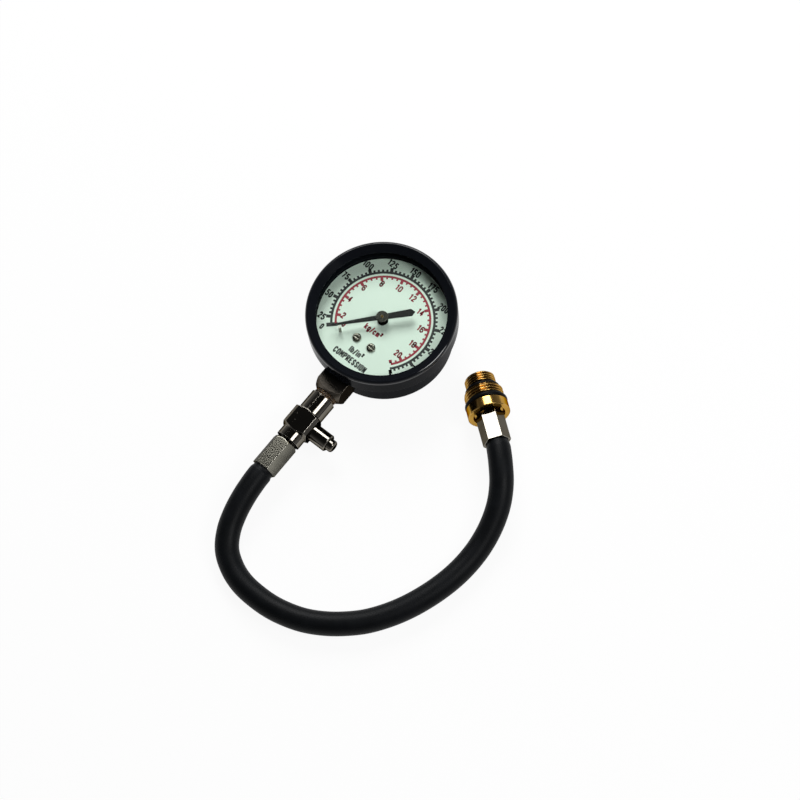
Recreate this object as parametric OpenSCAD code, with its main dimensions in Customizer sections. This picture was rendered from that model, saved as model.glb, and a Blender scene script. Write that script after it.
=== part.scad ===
// Engine compression tester: a dial gauge on a tee with a relief button, a short hose and
// a stepped plug adaptor. The gauge lies on its back. The origin is the centre of the case
// back, +Z points out through the dial, +Y to twelve o'clock and the stem runs along -Y.

/* [Case] */
// Outside diameter of the case cup
case_d = 63; // [61:0.5:66]
// Sheet thickness of the case cup
case_wall = 1; // [0.8:0.1:1.2]
// Outside radius of the rounded edge round the back
case_corner_r = 3; // [2:0.5:4]
// Height of the shoulder where the cup widens for the window
case_step_z = 21.2; // [21:0.1:22]
// How much wider the cup gets at its shoulder, on each side
case_step_w = 1.8; // [1.6:0.1:2.4]
// Height of the rim above the shoulder
case_rim_h = 4.3; // [4:0.1:6]

/* [Bezel and window] */
// Sheet thickness of the bezel ring
bezel_wall = 1.1; // [0.9:0.1:1.6]
// Diameter of the opening in the bezel
bezel_opening_d = 59.4; // [56:0.2:60]
// Thickness of the bezel at the edge of its opening
bezel_edge_t = 0.7; // [0.5:0.1:1]
// Depth of the dished front of the bezel
bezel_dish = 2.1; // [1:0.1:3]
// Radius of the bezel's rounded front shoulder
bezel_nose_r = 1.5; // [1:0.1:2]
// Thickness of the lip turned in behind the case shoulder
bezel_lip_t = 0.8; // [0.6:0.1:1]
// Thickness of the window
window_t = 2; // [1.5:0.1:3]
// Thickness of the gasket under the window
gasket_t = 0.7; // [0.5:0.1:1]
// Radial width of the gasket
gasket_w = 2; // [1.6:0.1:2.5]

/* [Dial and pointer] */
// Height of the dial face
dial_z = 20; // [19.6:0.1:20.6]
// Thickness of the dial plate
dial_t = 0.6; // [0.4:0.1:0.8]
// Hole in the middle of the dial
dial_hole_d = 4; // [3.6:0.1:5]
// Clock angle of the pointer against its stop
rest_clock = 223; // [215:0.5:235]
// Full swing of the pointer, in degrees
pointer_swing = 270; // [240:1:270]
// Length of the needle from the middle
needle_l = 24; // [20:0.5:26]
// Length of the tail from the middle
tail_l = 15.1; // [10:0.1:18]
// Width of the needle at the hub
needle_w = 2.5; // [1.6:0.1:3]
// Width of the needle near its point
needle_tip_w = 0.9; // [0.5:0.1:1.4]
// Width of the tail near its end
tail_w = 3.4; // [2:0.1:4.5]
// Thickness of the pointer sheet
pointer_t = 0.5; // [0.3:0.1:0.7]
// Height of the pointer above the dial
pointer_lift = 4.2; // [3:0.1:4.4]
// Diameter of the pointer hub
hub_d = 5.5; // [4.5:0.1:7]
// Height of the hub above the pointer sheet
hub_h = 0.6; // [0.4:0.1:0.8]
// Diameter of the stop pin
stop_d = 1.2; // [0.8:0.1:1.6]
// Distance of the stop pin from the middle
stop_r = 19.8; // [17:0.1:21]
// Half the distance between the dial screws
dial_screw_x = 4.1; // [3.6:0.1:4.6]
// Distance of the dial screws below the middle
dial_screw_y = 13.6; // [13.4:0.1:14.4]
// Thread diameter of the dial screws
dial_screw_d = 2.5; // [2:0.1:3]
// Head diameter of the dial screws
dial_screw_head_d = 4; // [3.6:0.1:4.4]
// Head height of the dial screws
dial_screw_head_h = 1.2; // [0.8:0.1:1.6]

/* [Movement] */
// Module of the gear teeth
gear_m = 0.4; // [0.38:0.01:0.42]
// Teeth that the sector would have as a full wheel
sector_teeth = 64; // [60:1:66]
// Thickness of the sector
sector_t = 1; // [0.8:0.1:1.2]
// Thickness of the link
link_t = 0.6; // [0.4:0.1:0.8]
// Diameter of the link pins
link_pin_d = 1; // [0.8:0.1:1.2]
// Thickness of the movement plates
plate_t = 1; // [0.8:0.1:1.2]
// Height between the movement plates
plate_gap = 6; // [5.8:0.1:6.4]
// Diameter of the pillars between the plates
pillar_d = 3; // [2.4:0.1:3.4]
// Diameter of the pinion shaft
arbor_d = 1.8; // [1.6:0.1:2]
// Diameter of the pinion journals
journal_d = 1.4; // [1.2:0.1:1.5]
// Number of turns of the hairspring
hairspring_turns = 4; // [3:1:5]
// Height of the hairspring strip
hairspring_h = 0.8; // [0.5:0.1:1]
// Mean radius of the curved pressure tube
tube_r = 22; // [21.5:0.1:23]
// Radial thickness of the flattened tube
tube_w = 3.2; // [2.8:0.1:3.6]
// Height of the flattened tube
tube_h = 9; // [8:0.1:10]
// Wall of the tube
tube_wall = 0.4; // [0.3:0.05:0.6]

/* [Stem] */
// Height of the stem axis above the back
stem_z = 11.5; // [11.2:0.1:12]
// Width across the flats of the square stem
stem_w = 13.5; // [13:0.1:14]
// Distance from the middle to the end of the flats
stem_flat_y = 39.5; // [38:0.5:42]
// Length of the turned end past the flats
stem_turned_l = 2; // [1.5:0.1:3]
// Diameter of the threaded end
spigot_d = 10; // [9.6:0.1:10.4]
// Threaded length left showing above the tee
spigot_show = 2.3; // [1:0.1:4]
// Diameter of the pressure passage
passage_d = 4; // [3:0.1:4.4]
// Thread diameter of the case screws
case_screw_d = 3; // [2.5:0.1:3.5]
// Head diameter of the case screws
case_screw_head_d = 5.6; // [5:0.1:6]

/* [Tee] */
// Diameter of the upper collar
collar_d = 12.3; // [12.2:0.1:13.5]
// Length of the upper collar
collar_l = 9.2; // [8:0.1:11]
// Width across the flats of the tee body
tee_w = 12.9; // [12:0.1:14]
// Length of the tee body
tee_l = 11.6; // [10.5:0.1:14]
// Chamfer along the edges of the tee body
tee_chamfer = 1.5; // [1:0.1:2]
// Length of the turned ends of the tee body
tee_turned_l = 1.2; // [0.8:0.1:1.8]
// Diameter of the lower collar
lower_collar_d = 12.1; // [11.5:0.1:13]
// Length of the lower collar
lower_collar_l = 4.4; // [4:0.1:7]

/* [Relief valve] */
// Diameter of the relief sleeve
sleeve_d = 8.3; // [8.2:0.1:9.4]
// Length of the relief sleeve outside the tee
sleeve_l = 9.2; // [9:0.1:12]
// Diameter of the relief button
button_d = 5.8; // [5.4:0.1:6]
// How far the button stands out
button_out = 3.1; // [2.4:0.1:4]
// How far the button can be pressed in
button_travel = 1.8; // [1:0.1:1.8]
// Diameter of the plunger stem
plunger_stem_d = 2; // [1.8:0.1:2.4]

/* [Hose and ferrules] */
// Outside diameter of the hose
hose_d = 11; // [10:0.1:11.2]
// Diameter of the hose where the ferrules grip it
hose_grip_d = 10; // [9.6:0.1:10.1]
// Length over which the hose swells again outside a ferrule
hose_swell_l = 2.5; // [2:0.1:3]
// Bore of the hose
hose_bore_d = 6.2; // [6:0.1:6.6]
// Sides of the hose in section
hose_sides = 12; // [10:1:12]
// Width across the flats of the crimped ferrules
ferrule_af = 11.2; // [11.1:0.1:12.4]
// Roll of the hexagon on the gauge end
gauge_roll = 6; // [-30:1:30]
// Roll of the hexagon on the adaptor end
adaptor_roll = 25; // [-30:1:30]
// Length of the ferrules
ferrule_l = 16.2; // [14:0.1:18]
// Thickness of the end wall of a ferrule
ferrule_end_t = 1.4; // [1:0.1:2]
// Gap between the tee collar and the ferrule
ferrule_gap = 0.8; // [0.6:0.1:2]
// Diameter of the nipple inside the hose
nipple_d = 5.6; // [5:0.1:5.8]
// Bore of the nipples
nipple_bore_d = 3; // [2:0.1:3.4]
// Thread diameter of the nipples
nipple_thread_d = 8; // [7.6:0.1:8.4]
// Thread length of the nipples
nipple_thread_l = 6.5; // [5:0.1:7]

/* [Adaptor] */
// Diameter of the flange
flange_d = 19.4; // [19:0.1:20.5]
// Length of the flange
flange_l = 4.9; // [4:0.1:6]
// Thread diameter of the large step
large_thread_d = 18; // [17.5:0.1:18.5]
// Thread length of the large step
large_thread_l = 5.1; // [4:0.1:7]
// Thread diameter of the small step
small_thread_d = 14; // [13.6:0.1:14.4]
// Thread length of the small step
small_thread_l = 5.7; // [5:0.1:8]
// Cord diameter of the large O-ring
large_ring_cord = 2.6; // [2.2:0.1:3]
// Outside diameter of the large O-ring
large_ring_d = 19.7; // [19.2:0.1:20.5]
// Cord diameter of the small O-ring
small_ring_cord = 1.9; // [1.5:0.1:2.2]
// Outside diameter of the small O-ring
small_ring_d = 16; // [15.4:0.1:16.6]
// Chamfer on the thread ends and the flange
adaptor_chamfer = 0.7; // [0.4:0.1:1]
// Diameter of the dished back where it starts
recess_d = 16.4; // [15.6:0.1:17]
// Depth of the dished back
recess_depth = 1.6; // [1.4:0.1:2.4]
// Compass angle of the adaptor's tip, from +X
adaptor_yaw = 142.5; // [135:0.5:150]

/* [Valve core] */
// Outside diameter of the valve core
core_d = 5.2; // [4.8:0.1:5.4]
// Length of the valve core
core_l = 7; // [6.6:0.1:7.2]
// Diameter of the valve pin
pin_d = 1.2; // [1:0.1:1.3]
// How far the valve pin can be pressed in
pin_travel = 1.5; // [0.8:0.1:1.6]

/* [Clearances] */
// Radial gap of running fits
run_gap = 0.05; // [0.02:0.01:0.1]
// Radial gap of pressed and screwed fits
fit_gap = 0.02; // [0.01:0.01:0.04]
// Gap round loose sheet parts
sheet_gap = 0.1; // [0.05:0.01:0.15]
// Gap between parts that move past each other
free_gap = 0.3; // [0.25:0.01:0.4]

/* [Hidden] */
round_fn = 64;
through = 1;
// Overlap that keeps a turned edge clear of the corners of a bar
corner_over = 0.03;

// Colours
black_paint = "#15171b";
glass = "#dfe9ee55";
rubber = "#1b1b1c";
dial_white = "#e9efe6";
brass = "#b9923f";
bronze = "#a8793c";
nickel = "#a6a39c";
steel = "#9a9da0";
pointer_black = "#101010";

// Case, bezel and window
case_r = case_d / 2;
case_inner_r = case_r - case_wall;
rim_r = case_r + case_step_w;
rim_inner_r = rim_r - case_wall;
case_rim_z = case_step_z + case_rim_h;
window_z = case_rim_z + gasket_t;
window_top_z = window_z + window_t;
window_r = rim_r - sheet_gap;
bezel_cavity_r = rim_r + sheet_gap;
bezel_r = bezel_cavity_r + bezel_wall;
bezel_front_z = window_top_z + bezel_edge_t + bezel_dish;
bezel_rear_z = case_step_z - sheet_gap - bezel_lip_t;

// Dial and pointer
dial_under_z = dial_z - dial_t;
dial_r = case_inner_r - free_gap;
pointer_z = dial_z + pointer_lift;
pointer_top_z = pointer_z + pointer_t;
hub_top_z = pointer_top_z + hub_h;
hub_neck_d = hub_d * 0.55;
arbor_proud = 0.2;
stop_clock = rest_clock - (needle_w / 2 + stop_d / 2) / stop_r * 180 / PI;
arbor_top_z = hub_top_z + arbor_proud;

// Stem socket
stem_half = stem_w / 2;
stem_end_y = stem_flat_y + stem_turned_l;
tee_top_y = stem_end_y + spigot_show;
pad_margin = 0.95;
pad_near_y = dial_screw_y - dial_screw_d / 2 - pad_margin;
pad_far_y = dial_screw_y + dial_screw_head_d / 2 + pad_margin;
foot_margin = 4;
foot_far_y = tube_r + foot_margin;
tongue_y = 4;
spigot_l = spigot_show + collar_l - through;
stem_neck_r = stem_half * 0.88;
screw_depth = 4.5;
movement_screw_depth = 2;
restrictor_l = 4;

// Movement heights
plate_z = 8;
sector_lift = 1.4;
sector_z = plate_z + plate_t + sector_lift;
sector_top_z = sector_z + sector_t;
link_z = sector_top_z + free_gap;
link_top_z = link_z + link_t;
pin_top_z = link_top_z + free_gap;
hairspring_z = pin_top_z + arbor_proud;
plate_top_z = plate_z + plate_t + plate_gap;

// Gear train
pinion_teeth = 8;
pinion_r = gear_m * pinion_teeth / 2;
sector_r = gear_m * sector_teeth / 2;
gear_gap = pinion_r + sector_r;
sector_pitch = 360 / sector_teeth;
sector_swing = pointer_swing * pinion_teeth / sector_teeth;
pressure_angle = 20;
tooth_play = 0.16;
pinion_addendum = gear_m * 0.95;
sector_addendum = gear_m * 0.5;
tooth_depth = gear_m * 1.35;
sector_bearing = -36;
sector_at = gear_gap * [cos(sector_bearing), sin(sector_bearing)];
teeth_before = ceil(sector_swing / sector_pitch) + 2;
teeth_after = 2;
rim_from = 180 + sector_bearing - teeth_before * sector_pitch;
rim_to = 180 + sector_bearing + teeth_after * sector_pitch;
rim_w = 1.8;
spoke_w = 1.8;
sector_boss_d = arbor_d + 3;
collet_d = arbor_d + 0.6;
hairspring_t = 0.16;
hairspring_r = 5;
hairspring_bearing = 200;
stud_d = 1;
stud_r = hairspring_r + hairspring_t / 2 + stud_d / 2 + fit_gap;

// Link and tube tip: at mid travel the sector arm stands square to the link, and both ends of the
// link stay just inside the tube
pull_bearing = 64.3;
pull_way = [cos(pull_bearing), sin(pull_bearing)];
arm_bearing = pull_bearing - 90 - sector_swing / 2;
link_pin_r = link_pin_d / 2;
link_play = 0.25;
link_w = link_pin_d + 1.6;
link_arm_w = link_w - 0.6;
link_room_r = tube_r - tube_w / 2 - link_w / 2;
sector_arm = link_room_r - sheet_gap - gear_gap;
link_start = sector_at + sector_arm * [cos(arm_bearing), sin(arm_bearing)];
link_back = link_start * pull_way;
link_l = sqrt(link_back ^ 2 + (link_room_r - free_gap) ^ 2 - link_start * link_start) - link_back;
link_end = link_start + link_l * pull_way;

// Pressure tube
tube_from = -8;
tube_to = 262;
tube_slot_to = 267;
tip_sweep = 10;

// Places of the pillars and the movement screws
pillar_at = [[-7, 3], [13, -1], [-7.5, -3]];
plate_arm_w = pillar_d + 1.6;
plate_boss_d = pillar_d + 2.4;
plate_eye_d = arbor_d + 4.6;
movement_screw_at = [[-4.5, -7.2], [4.5, -7.2]];
movement_screw_d = 2;
movement_screw_head_d = 3.4;
movement_screw_head_h = 0.9;
dial_screw_at = [[-dial_screw_x, -dial_screw_y], [dial_screw_x, -dial_screw_y]];
case_screw_at = [[0, -pad_near_y - foot_margin], [0, -foot_far_y + foot_margin]];
case_screw_sink = (case_screw_head_d - case_screw_d) / 2;

// Tee: distances run down the stem from the gauge axis
body_top = tee_top_y + collar_l;
body_end = body_top + tee_l;
tee_end = body_end + lower_collar_l;
ferrule_top = tee_end + ferrule_gap;
ferrule_end = ferrule_top + ferrule_l;
port_y = (body_top + body_end) / 2;

// Relief valve: distances run out along +X from the stem axis
sleeve_wall = 1;
sleeve_from = tee_w / 2;
sleeve_end = sleeve_from + sleeve_l;
port_d = sleeve_d - 2 * sleeve_wall;
port_depth = 3.4;
seat_x = sleeve_from - port_depth;
mouth_t = 0.8;
button_end = sleeve_end + button_out;
chamber_d = button_d + 0.9;
chamber_from = sleeve_from + 1.4;
button_flange_t = 1.1;
button_flange_x = sleeve_end - mouth_t - sheet_gap - button_flange_t;
poppet_d = plunger_stem_d + 1.8;
poppet_t = 0.9;
seal_t = 0.5;
stem_hole_d = plunger_stem_d + 0.8;
pocket_x = seat_x - seal_t - poppet_t - button_travel - free_gap;
relief_wire = 0.5;
relief_turns = 5;

// Ferrules and nipples
ferrule_bore_d = hose_grip_d + 2 * fit_gap;
nipple_neck_d = 6.4;
nipple_l = ferrule_l - ferrule_end_t - 1;

// Adaptor: distances run from the back of the flange to the tip
large_ring_s = flange_l + large_ring_cord / 2;
large_thread_s = flange_l + large_ring_cord;
step_s = large_thread_s + large_thread_l;
small_ring_s = step_s + small_ring_cord / 2;
small_thread_s = step_s + small_ring_cord;
tip_s = small_thread_s + small_thread_l;
recess_floor_d = 13.2;
nose_s = recess_depth - 0.4;
ferrule_back_s = nose_s - ferrule_l;
// The adaptor rests on its large O-ring and on the edge of its tip
rest_ring_r = large_ring_d / 2 - large_ring_cord / 2;
rest_run = tip_s - adaptor_chamfer - large_ring_s;
rest_rise = rest_ring_r - small_thread_d / 2;
adaptor_pitch = asin(large_ring_cord / 2 / norm([rest_rise, rest_run])) + atan(rest_rise / rest_run);
adaptor_xy = [64.2, -3.9];
adaptor_z = rest_ring_r * cos(adaptor_pitch) + large_ring_cord / 2 + large_ring_s * sin(adaptor_pitch);
adaptor_at = [adaptor_xy[0], adaptor_xy[1], adaptor_z];

// Valve core
core_sink = 0.6;
core_wall = 1;
core_floor_t = 0.8;
core_guide_t = 1.2;
core_end = tip_s - core_sink;
core_from = core_end - core_l;
core_bore_d = core_d - 2 * core_wall;
core_shoulder = core_from + core_floor_t;
core_guide = core_end - core_guide_t;
pin_collar_d = core_bore_d - 2 * sheet_gap;
pin_collar_t = 0.6;
pin_collar_s = core_guide - pin_collar_t - sheet_gap;
pin_disc_t = 0.8;
pin_seal_t = 0.4;
pin_hole_d = pin_d + 0.8;
pin_out = 0.4;
core_chamber_s = core_from - pin_seal_t - pin_disc_t - pin_travel - 2 * free_gap;
valve_wire = 0.36;
valve_turns = 4;

// Hose route: from the gauge ferrule, down to the floor, round a wide bend and up to the adaptor
hose_free = [[0.2, -93.5, 11.4], [0.9, -101, 10.7], [2.3, -109, 9.3], [4.9, -117, 7.7], [9.7, -124.3, 6.4],
    [17.1, -129.3, 5.7], [25.3, -132, 5.6], [34.1, -132.7, 5.6], [42.8, -132.2, 5.6], [51.3, -130.3, 5.6],
    [58.8, -127.5, 5.6], [66.4, -123.1, 5.6], [73.1, -117.9, 5.6], [79.4, -111.7, 5.6], [84.7, -104.5, 5.6],
    [89.1, -96.8, 5.6], [92.6, -88.7, 5.6], [95.4, -80, 5.6], [97.3, -71.3, 5.6], [98.2, -62, 5.8],
    [98, -52.6, 6.9], [96.5, -43.2, 9], [93.6, -34.4, 11.6], [89.1, -26.6, 13.9], [83.2, -19.7, 15]];
hose_start = [for (y = [ferrule_top + ferrule_end_t + sheet_gap, ferrule_end, ferrule_end + hose_swell_l])
    [0, -y, stem_z]];
hose_finish = [for (s = [ferrule_back_s - hose_swell_l, ferrule_back_s, nose_s - ferrule_end_t - sheet_gap])
    adaptor_point(s)];
hose_route = concat(hose_start, hose_free, hose_finish);
hose_last = len(hose_route) - 1;
hose_gripped = 2;

// Unit vector along v
function unit(v) = v / norm(v);
// Point on the adaptor's axis, s from the back of its flange
function adaptor_point(s) = adaptor_at + s * [
    cos(adaptor_pitch) * cos(adaptor_yaw), cos(adaptor_pitch) * sin(adaptor_yaw), -sin(adaptor_pitch)];
// Direction of a route at point i
function route_way(p, i) = unit(p[min(i + 1, len(p) - 1)] - p[max(i - 1, 0)]);
// One ring of n points of radius r, square to the route at point i
function route_ring(p, i, r, n) = let (
    way = route_way(p, i), side = unit(cross(way, [0, 0, 1])), over = cross(side, way))
    [for (k = [0 : n - 1]) p[i] + r * (cos(360 * k / n) * side + sin(360 * k / n) * over)];
// Point of a coil spring's middle line, t from 0 to 1
function coil_point(r, h, turns, t) = [r * cos(360 * turns * t), r * sin(360 * turns * t), h * t];
// Involute of angle a, in degrees
function inv(a) = tan(a) * 180 / PI - a;
// Half the angle of a tooth at radius r
function flank(r, base, pitch, half) = half + inv(acos(base / pitch)) - inv(acos(min(1, base / r)));
// Corners of one involute gear tooth about +X, from its root to its tip
function tooth(root, tip, pitch, half, steps = 5) = let (
    base = pitch * cos(pressure_angle),
    radii = [for (k = [0 : steps]) root + (tip - root) * k / steps],
    turns = [for (r = radii) flank(r, base, pitch, half)])
    concat([for (k = [0 : steps]) radii[k] * [cos(turns[k]), -sin(turns[k])]],
        [for (k = [steps : -1 : 0]) radii[k] * [cos(turns[k]), sin(turns[k])]]);

// Frame with +Z down the stem
module along_stem(at = 0) {
    translate([0, -at, stem_z]) rotate([90, 0, 0]) children();
}

// Frame with +Z out along the relief branch
module along_branch(at = 0) {
    translate([at, -port_y, stem_z]) rotate([0, 90, 0]) children();
}

// Frame with +Z towards the adaptor's tip
module along_adaptor(at = 0) {
    translate(adaptor_at) rotate([0, 90 + adaptor_pitch, adaptor_yaw]) translate([0, 0, at]) children();
}

// Round rod
module rod(d, h) {
    cylinder(d = d, h = h, $fn = round_fn);
}

// Flat strip with a round eye at each end
module strip(a, b, w, eye_d) {
    run = b - a;
    translate(a) rotate(atan2(run[1], run[0])) translate([0, -w / 2]) square([norm(run), w]);
    for (p = [a, b]) translate(p) circle(d = eye_d, $fn = round_fn);
}

// Flattened tube section, standing up
module oval(w, h) {
    square([w, h - w], center = true);
    for (side = [-1, 1]) translate([0, side * (h - w) / 2]) circle(d = w, $fn = round_fn);
}

// Pan head screw with a slot, standing head up on z = 0
module pan_screw(d, head_d, head_h, depth) {
    slot_w = head_d * 0.2;
    difference() {
        union() {
            rod(head_d, head_h * 0.6);
            translate([0, 0, head_h * 0.6]) cylinder(d1 = head_d, d2 = head_d * 0.7,
                h = head_h * 0.4, $fn = round_fn);
            translate([0, 0, -depth]) rod(d, depth);
        }
        translate([-head_d, -slot_w / 2, head_h * 0.5]) cube([2 * head_d, slot_w, head_h]);
    }
}

// Coil spring of round wire along +Z, its ends a wire radius inside the given height
module coil(r, h, turns, wire, sides = 6, steps = 16) {
    run = h - wire;
    count = turns * steps;
    path = [for (i = [0 : count]) coil_point(r, run, turns, i / count) + [0, 0, wire / 2]];
    points = [for (i = [0 : count]) each route_ring(path, i, wire / 2, sides)];
    polyhedron(points, concat(
        [[for (k = [0 : sides - 1]) k]],
        [for (i = [0 : count - 1], k = [0 : sides - 1]) let (n = (k + 1) % sides)
            [i * sides + k, (i + 1) * sides + k, (i + 1) * sides + n, i * sides + n]],
        [[for (k = [sides - 1 : -1 : 0]) count * sides + k]]));
}

module case_section() {
    back = case_r - case_corner_r;
    square([back, case_wall]);
    translate([back, case_corner_r]) intersection() {
        difference() {
            circle(r = case_corner_r, $fn = round_fn);
            circle(r = case_corner_r - case_wall, $fn = round_fn);
        }
        translate([0, -case_corner_r]) square(case_corner_r);
    }
    translate([case_inner_r, case_corner_r]) square([case_wall, case_step_z - case_corner_r + case_wall]);
    translate([case_inner_r, case_step_z]) square([rim_r - case_inner_r, case_wall]);
    translate([rim_inner_r, case_step_z]) square([case_wall, case_rim_h]);
}

module case_cup() {
    window_w = stem_w + 2 * sheet_gap;
    color(black_paint) difference() {
        rotate_extrude($fn = round_fn) case_section();
        along_stem(case_inner_r / 2) translate([-window_w / 2, -window_w / 2, 0])
            cube([window_w, window_w, case_r]);
        for (at = case_screw_at) translate([at[0], at[1], 0]) {
            cylinder(d1 = case_screw_head_d + 2 * sheet_gap, h = case_screw_sink,
                d2 = case_screw_d + 2 * sheet_gap, $fn = round_fn);
            translate([0, 0, -through]) rod(case_screw_d + 2 * sheet_gap, case_wall + 2 * through);
        }
    }
}

module bezel_section() {
    nose = bezel_r - bezel_nose_r;
    difference() {
        union() {
            translate([0, bezel_rear_z]) square([nose, bezel_front_z - bezel_rear_z]);
            translate([0, bezel_rear_z]) square([bezel_r, bezel_front_z - bezel_nose_r - bezel_rear_z]);
            translate([nose, bezel_front_z - bezel_nose_r]) circle(r = bezel_nose_r, $fn = round_fn);
        }
        translate([0, bezel_rear_z + bezel_lip_t])
            square([bezel_cavity_r, window_top_z - bezel_rear_z - bezel_lip_t]);
        translate([0, bezel_rear_z - through]) square([case_r + 2 * sheet_gap, bezel_lip_t + 2 * through]);
        translate([0, window_top_z - through]) square([bezel_opening_d / 2, bezel_front_z]);
        polygon([[0, bezel_front_z + through], [nose, bezel_front_z + through], [nose, bezel_front_z],
            [bezel_opening_d / 2, bezel_front_z - bezel_dish], [0, bezel_front_z - bezel_dish]]);
    }
}

module bezel() {
    color(black_paint) rotate_extrude($fn = round_fn) bezel_section();
}

module window() {
    color(glass) translate([0, 0, window_z]) rod(2 * window_r, window_t);
}

module window_gasket() {
    color(rubber) translate([0, 0, case_rim_z]) difference() {
        rod(2 * window_r, gasket_t);
        translate([0, 0, -through]) rod(2 * (window_r - gasket_w), gasket_t + 2 * through);
    }
}

module dial_plate() {
    color(dial_white) translate([0, 0, dial_under_z]) linear_extrude(dial_t) difference() {
        circle(r = dial_r, $fn = round_fn);
        circle(d = dial_hole_d, $fn = round_fn);
        for (at = dial_screw_at) translate(at) circle(d = dial_screw_d + 2 * sheet_gap, $fn = round_fn);
        rotate(90 - stop_clock) translate([stop_r, 0]) circle(d = stop_d + 2 * fit_gap, $fn = round_fn);
    }
}

module dial_screws() {
    color(steel) for (at = dial_screw_at) translate([at[0], at[1], dial_z])
        pan_screw(dial_screw_d, dial_screw_head_d, dial_screw_head_h, screw_depth + dial_t);
}

module stop_pin() {
    color(pointer_black) rotate(90 - stop_clock) translate([stop_r, 0, dial_under_z])
        rod(stop_d, pointer_top_z + free_gap - dial_under_z);
}

module pointer() {
    neck = hub_neck_d / 2 + fit_gap;
    point_from = needle_l - 2 * needle_tip_w;
    color(pointer_black) translate([0, 0, pointer_z]) rotate(-rest_clock) linear_extrude(pointer_t)
        difference() {
            union() {
                polygon([[-needle_w / 2, 0], [needle_w / 2, 0], [needle_tip_w / 2, point_from],
                    [0, needle_l], [-needle_tip_w / 2, point_from]]);
                polygon([[-needle_w / 2, 0], [-tail_w / 2, tail_w / 2 - tail_l], [0, -tail_l],
                    [tail_w / 2, tail_w / 2 - tail_l], [needle_w / 2, 0]]);
                circle(d = hub_d - 2 * free_gap, $fn = round_fn);
            }
            circle(r = neck, $fn = round_fn);
        }
}

module pointer_hub() {
    color(pointer_black) difference() {
        union() {
            translate([0, 0, dial_z + free_gap]) rod(hub_d - 2 * free_gap, pointer_lift - free_gap);
            translate([0, 0, pointer_z]) rod(hub_neck_d, pointer_t);
            translate([0, 0, pointer_top_z]) rod(hub_d, hub_h);
        }
        translate([0, 0, dial_z]) rod(journal_d + 2 * fit_gap, hub_top_z);
    }
}

module pinion_arbor() {
    half = 90 / pinion_teeth - tooth_play / 4 / pinion_r * 180 / PI;
    root = pinion_r - tooth_depth;
    color(brass) {
        translate([0, 0, plate_z]) rod(journal_d, arbor_top_z - plate_z);
        translate([0, 0, plate_z + plate_t + sheet_gap]) rod(arbor_d, plate_gap - 2 * sheet_gap);
        translate([0, 0, hairspring_z]) rod(collet_d, hairspring_h);
        translate([0, 0, sector_z - free_gap]) linear_extrude(sector_t + free_gap) {
            circle(r = root, $fn = round_fn);
            for (k = [0 : pinion_teeth - 1]) rotate(sector_bearing + k * 360 / pinion_teeth)
                polygon(tooth(root * 0.9, pinion_r + pinion_addendum, pinion_r, half));
        }
    }
}

module hairspring() {
    from_r = collet_d / 2 + run_gap + hairspring_t / 2;
    steps = hairspring_turns * 20;
    line = [for (i = [0 : steps]) let (t = i / steps)
        [from_r + (hairspring_r - from_r) * t, hairspring_bearing + 360 * hairspring_turns * t]];
    edge = function (off) [for (p = line) (p[0] + off) * [cos(p[1]), sin(p[1])]];
    outer = edge(hairspring_t / 2);
    inner = edge(-hairspring_t / 2);
    color(bronze) translate([0, 0, hairspring_z]) linear_extrude(hairspring_h)
        polygon(concat(outer, [for (i = [steps : -1 : 0]) inner[i]]));
}

module sector_outline() {
    root = sector_r - tooth_depth;
    half = 90 / sector_teeth - tooth_play / 4 / sector_r * 180 / PI;
    middle = (rim_from + rim_to) / 2;
    rim_half = (rim_to - rim_from) / 2;
    difference() {
        circle(r = root, $fn = round_fn);
        circle(r = root - rim_w, $fn = round_fn);
        rotate(middle + 180) for (side = [-1, 1]) rotate(side * (90 - rim_half)) translate([0, -2 * root])
            square([2 * root, 4 * root]);
        rotate(middle + 180) translate([0, -2 * root]) square([2 * root, 4 * root]);
    }
    for (k = [-teeth_before : teeth_after - 1]) rotate(180 + sector_bearing + (k + 0.5) * sector_pitch)
        polygon(tooth(root - rim_w / 3, sector_r + sector_addendum, sector_r, half));
    for (side = [-1, 1]) rotate(middle + side * rim_half * 0.6) translate([0, -spoke_w / 2])
        square([root - rim_w / 2, spoke_w]);
    circle(d = sector_boss_d, $fn = round_fn);
    strip([0, 0], sector_arm * [cos(arm_bearing), sin(arm_bearing)], link_arm_w, link_w);
}

module sector_gear() {
    color(brass) {
        translate([sector_at[0], sector_at[1], sector_z]) linear_extrude(sector_t) difference() {
            sector_outline();
            circle(d = arbor_d + 2 * fit_gap, $fn = round_fn);
        }
        translate([link_start[0], link_start[1], sector_z]) rod(link_pin_d, pin_top_z - sector_z);
    }
}

module sector_arbor() {
    color(steel) translate([sector_at[0], sector_at[1], 0]) {
        translate([0, 0, plate_z]) rod(journal_d, plate_gap + 2 * plate_t);
        translate([0, 0, plate_z + plate_t + sheet_gap]) rod(arbor_d, plate_gap - 2 * sheet_gap);
    }
}

module link() {
    color(brass) translate([0, 0, link_z]) linear_extrude(link_t) difference() {
        strip(link_start, link_end, link_arm_w, link_w);
        translate(link_start) circle(r = link_pin_r + run_gap, $fn = round_fn);
        translate(link_end) circle(r = link_pin_r + link_play, $fn = round_fn);
    }
}

module tube_tip() {
    plug_at = (tube_r - tube_w / 4) * [cos(tube_from - tip_sweep / 2), sin(tube_from - tip_sweep / 2)];
    color(brass) {
        rotate(tube_from - tip_sweep) rotate_extrude(angle = tip_sweep, $fn = round_fn)
            translate([tube_r, stem_z]) oval(tube_w, tube_h);
        translate([0, 0, sector_z]) linear_extrude(sector_t) strip(plug_at, link_end, link_arm_w, link_w);
        translate([link_end[0], link_end[1], sector_z]) rod(link_pin_d, pin_top_z - sector_z);
    }
}

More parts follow.
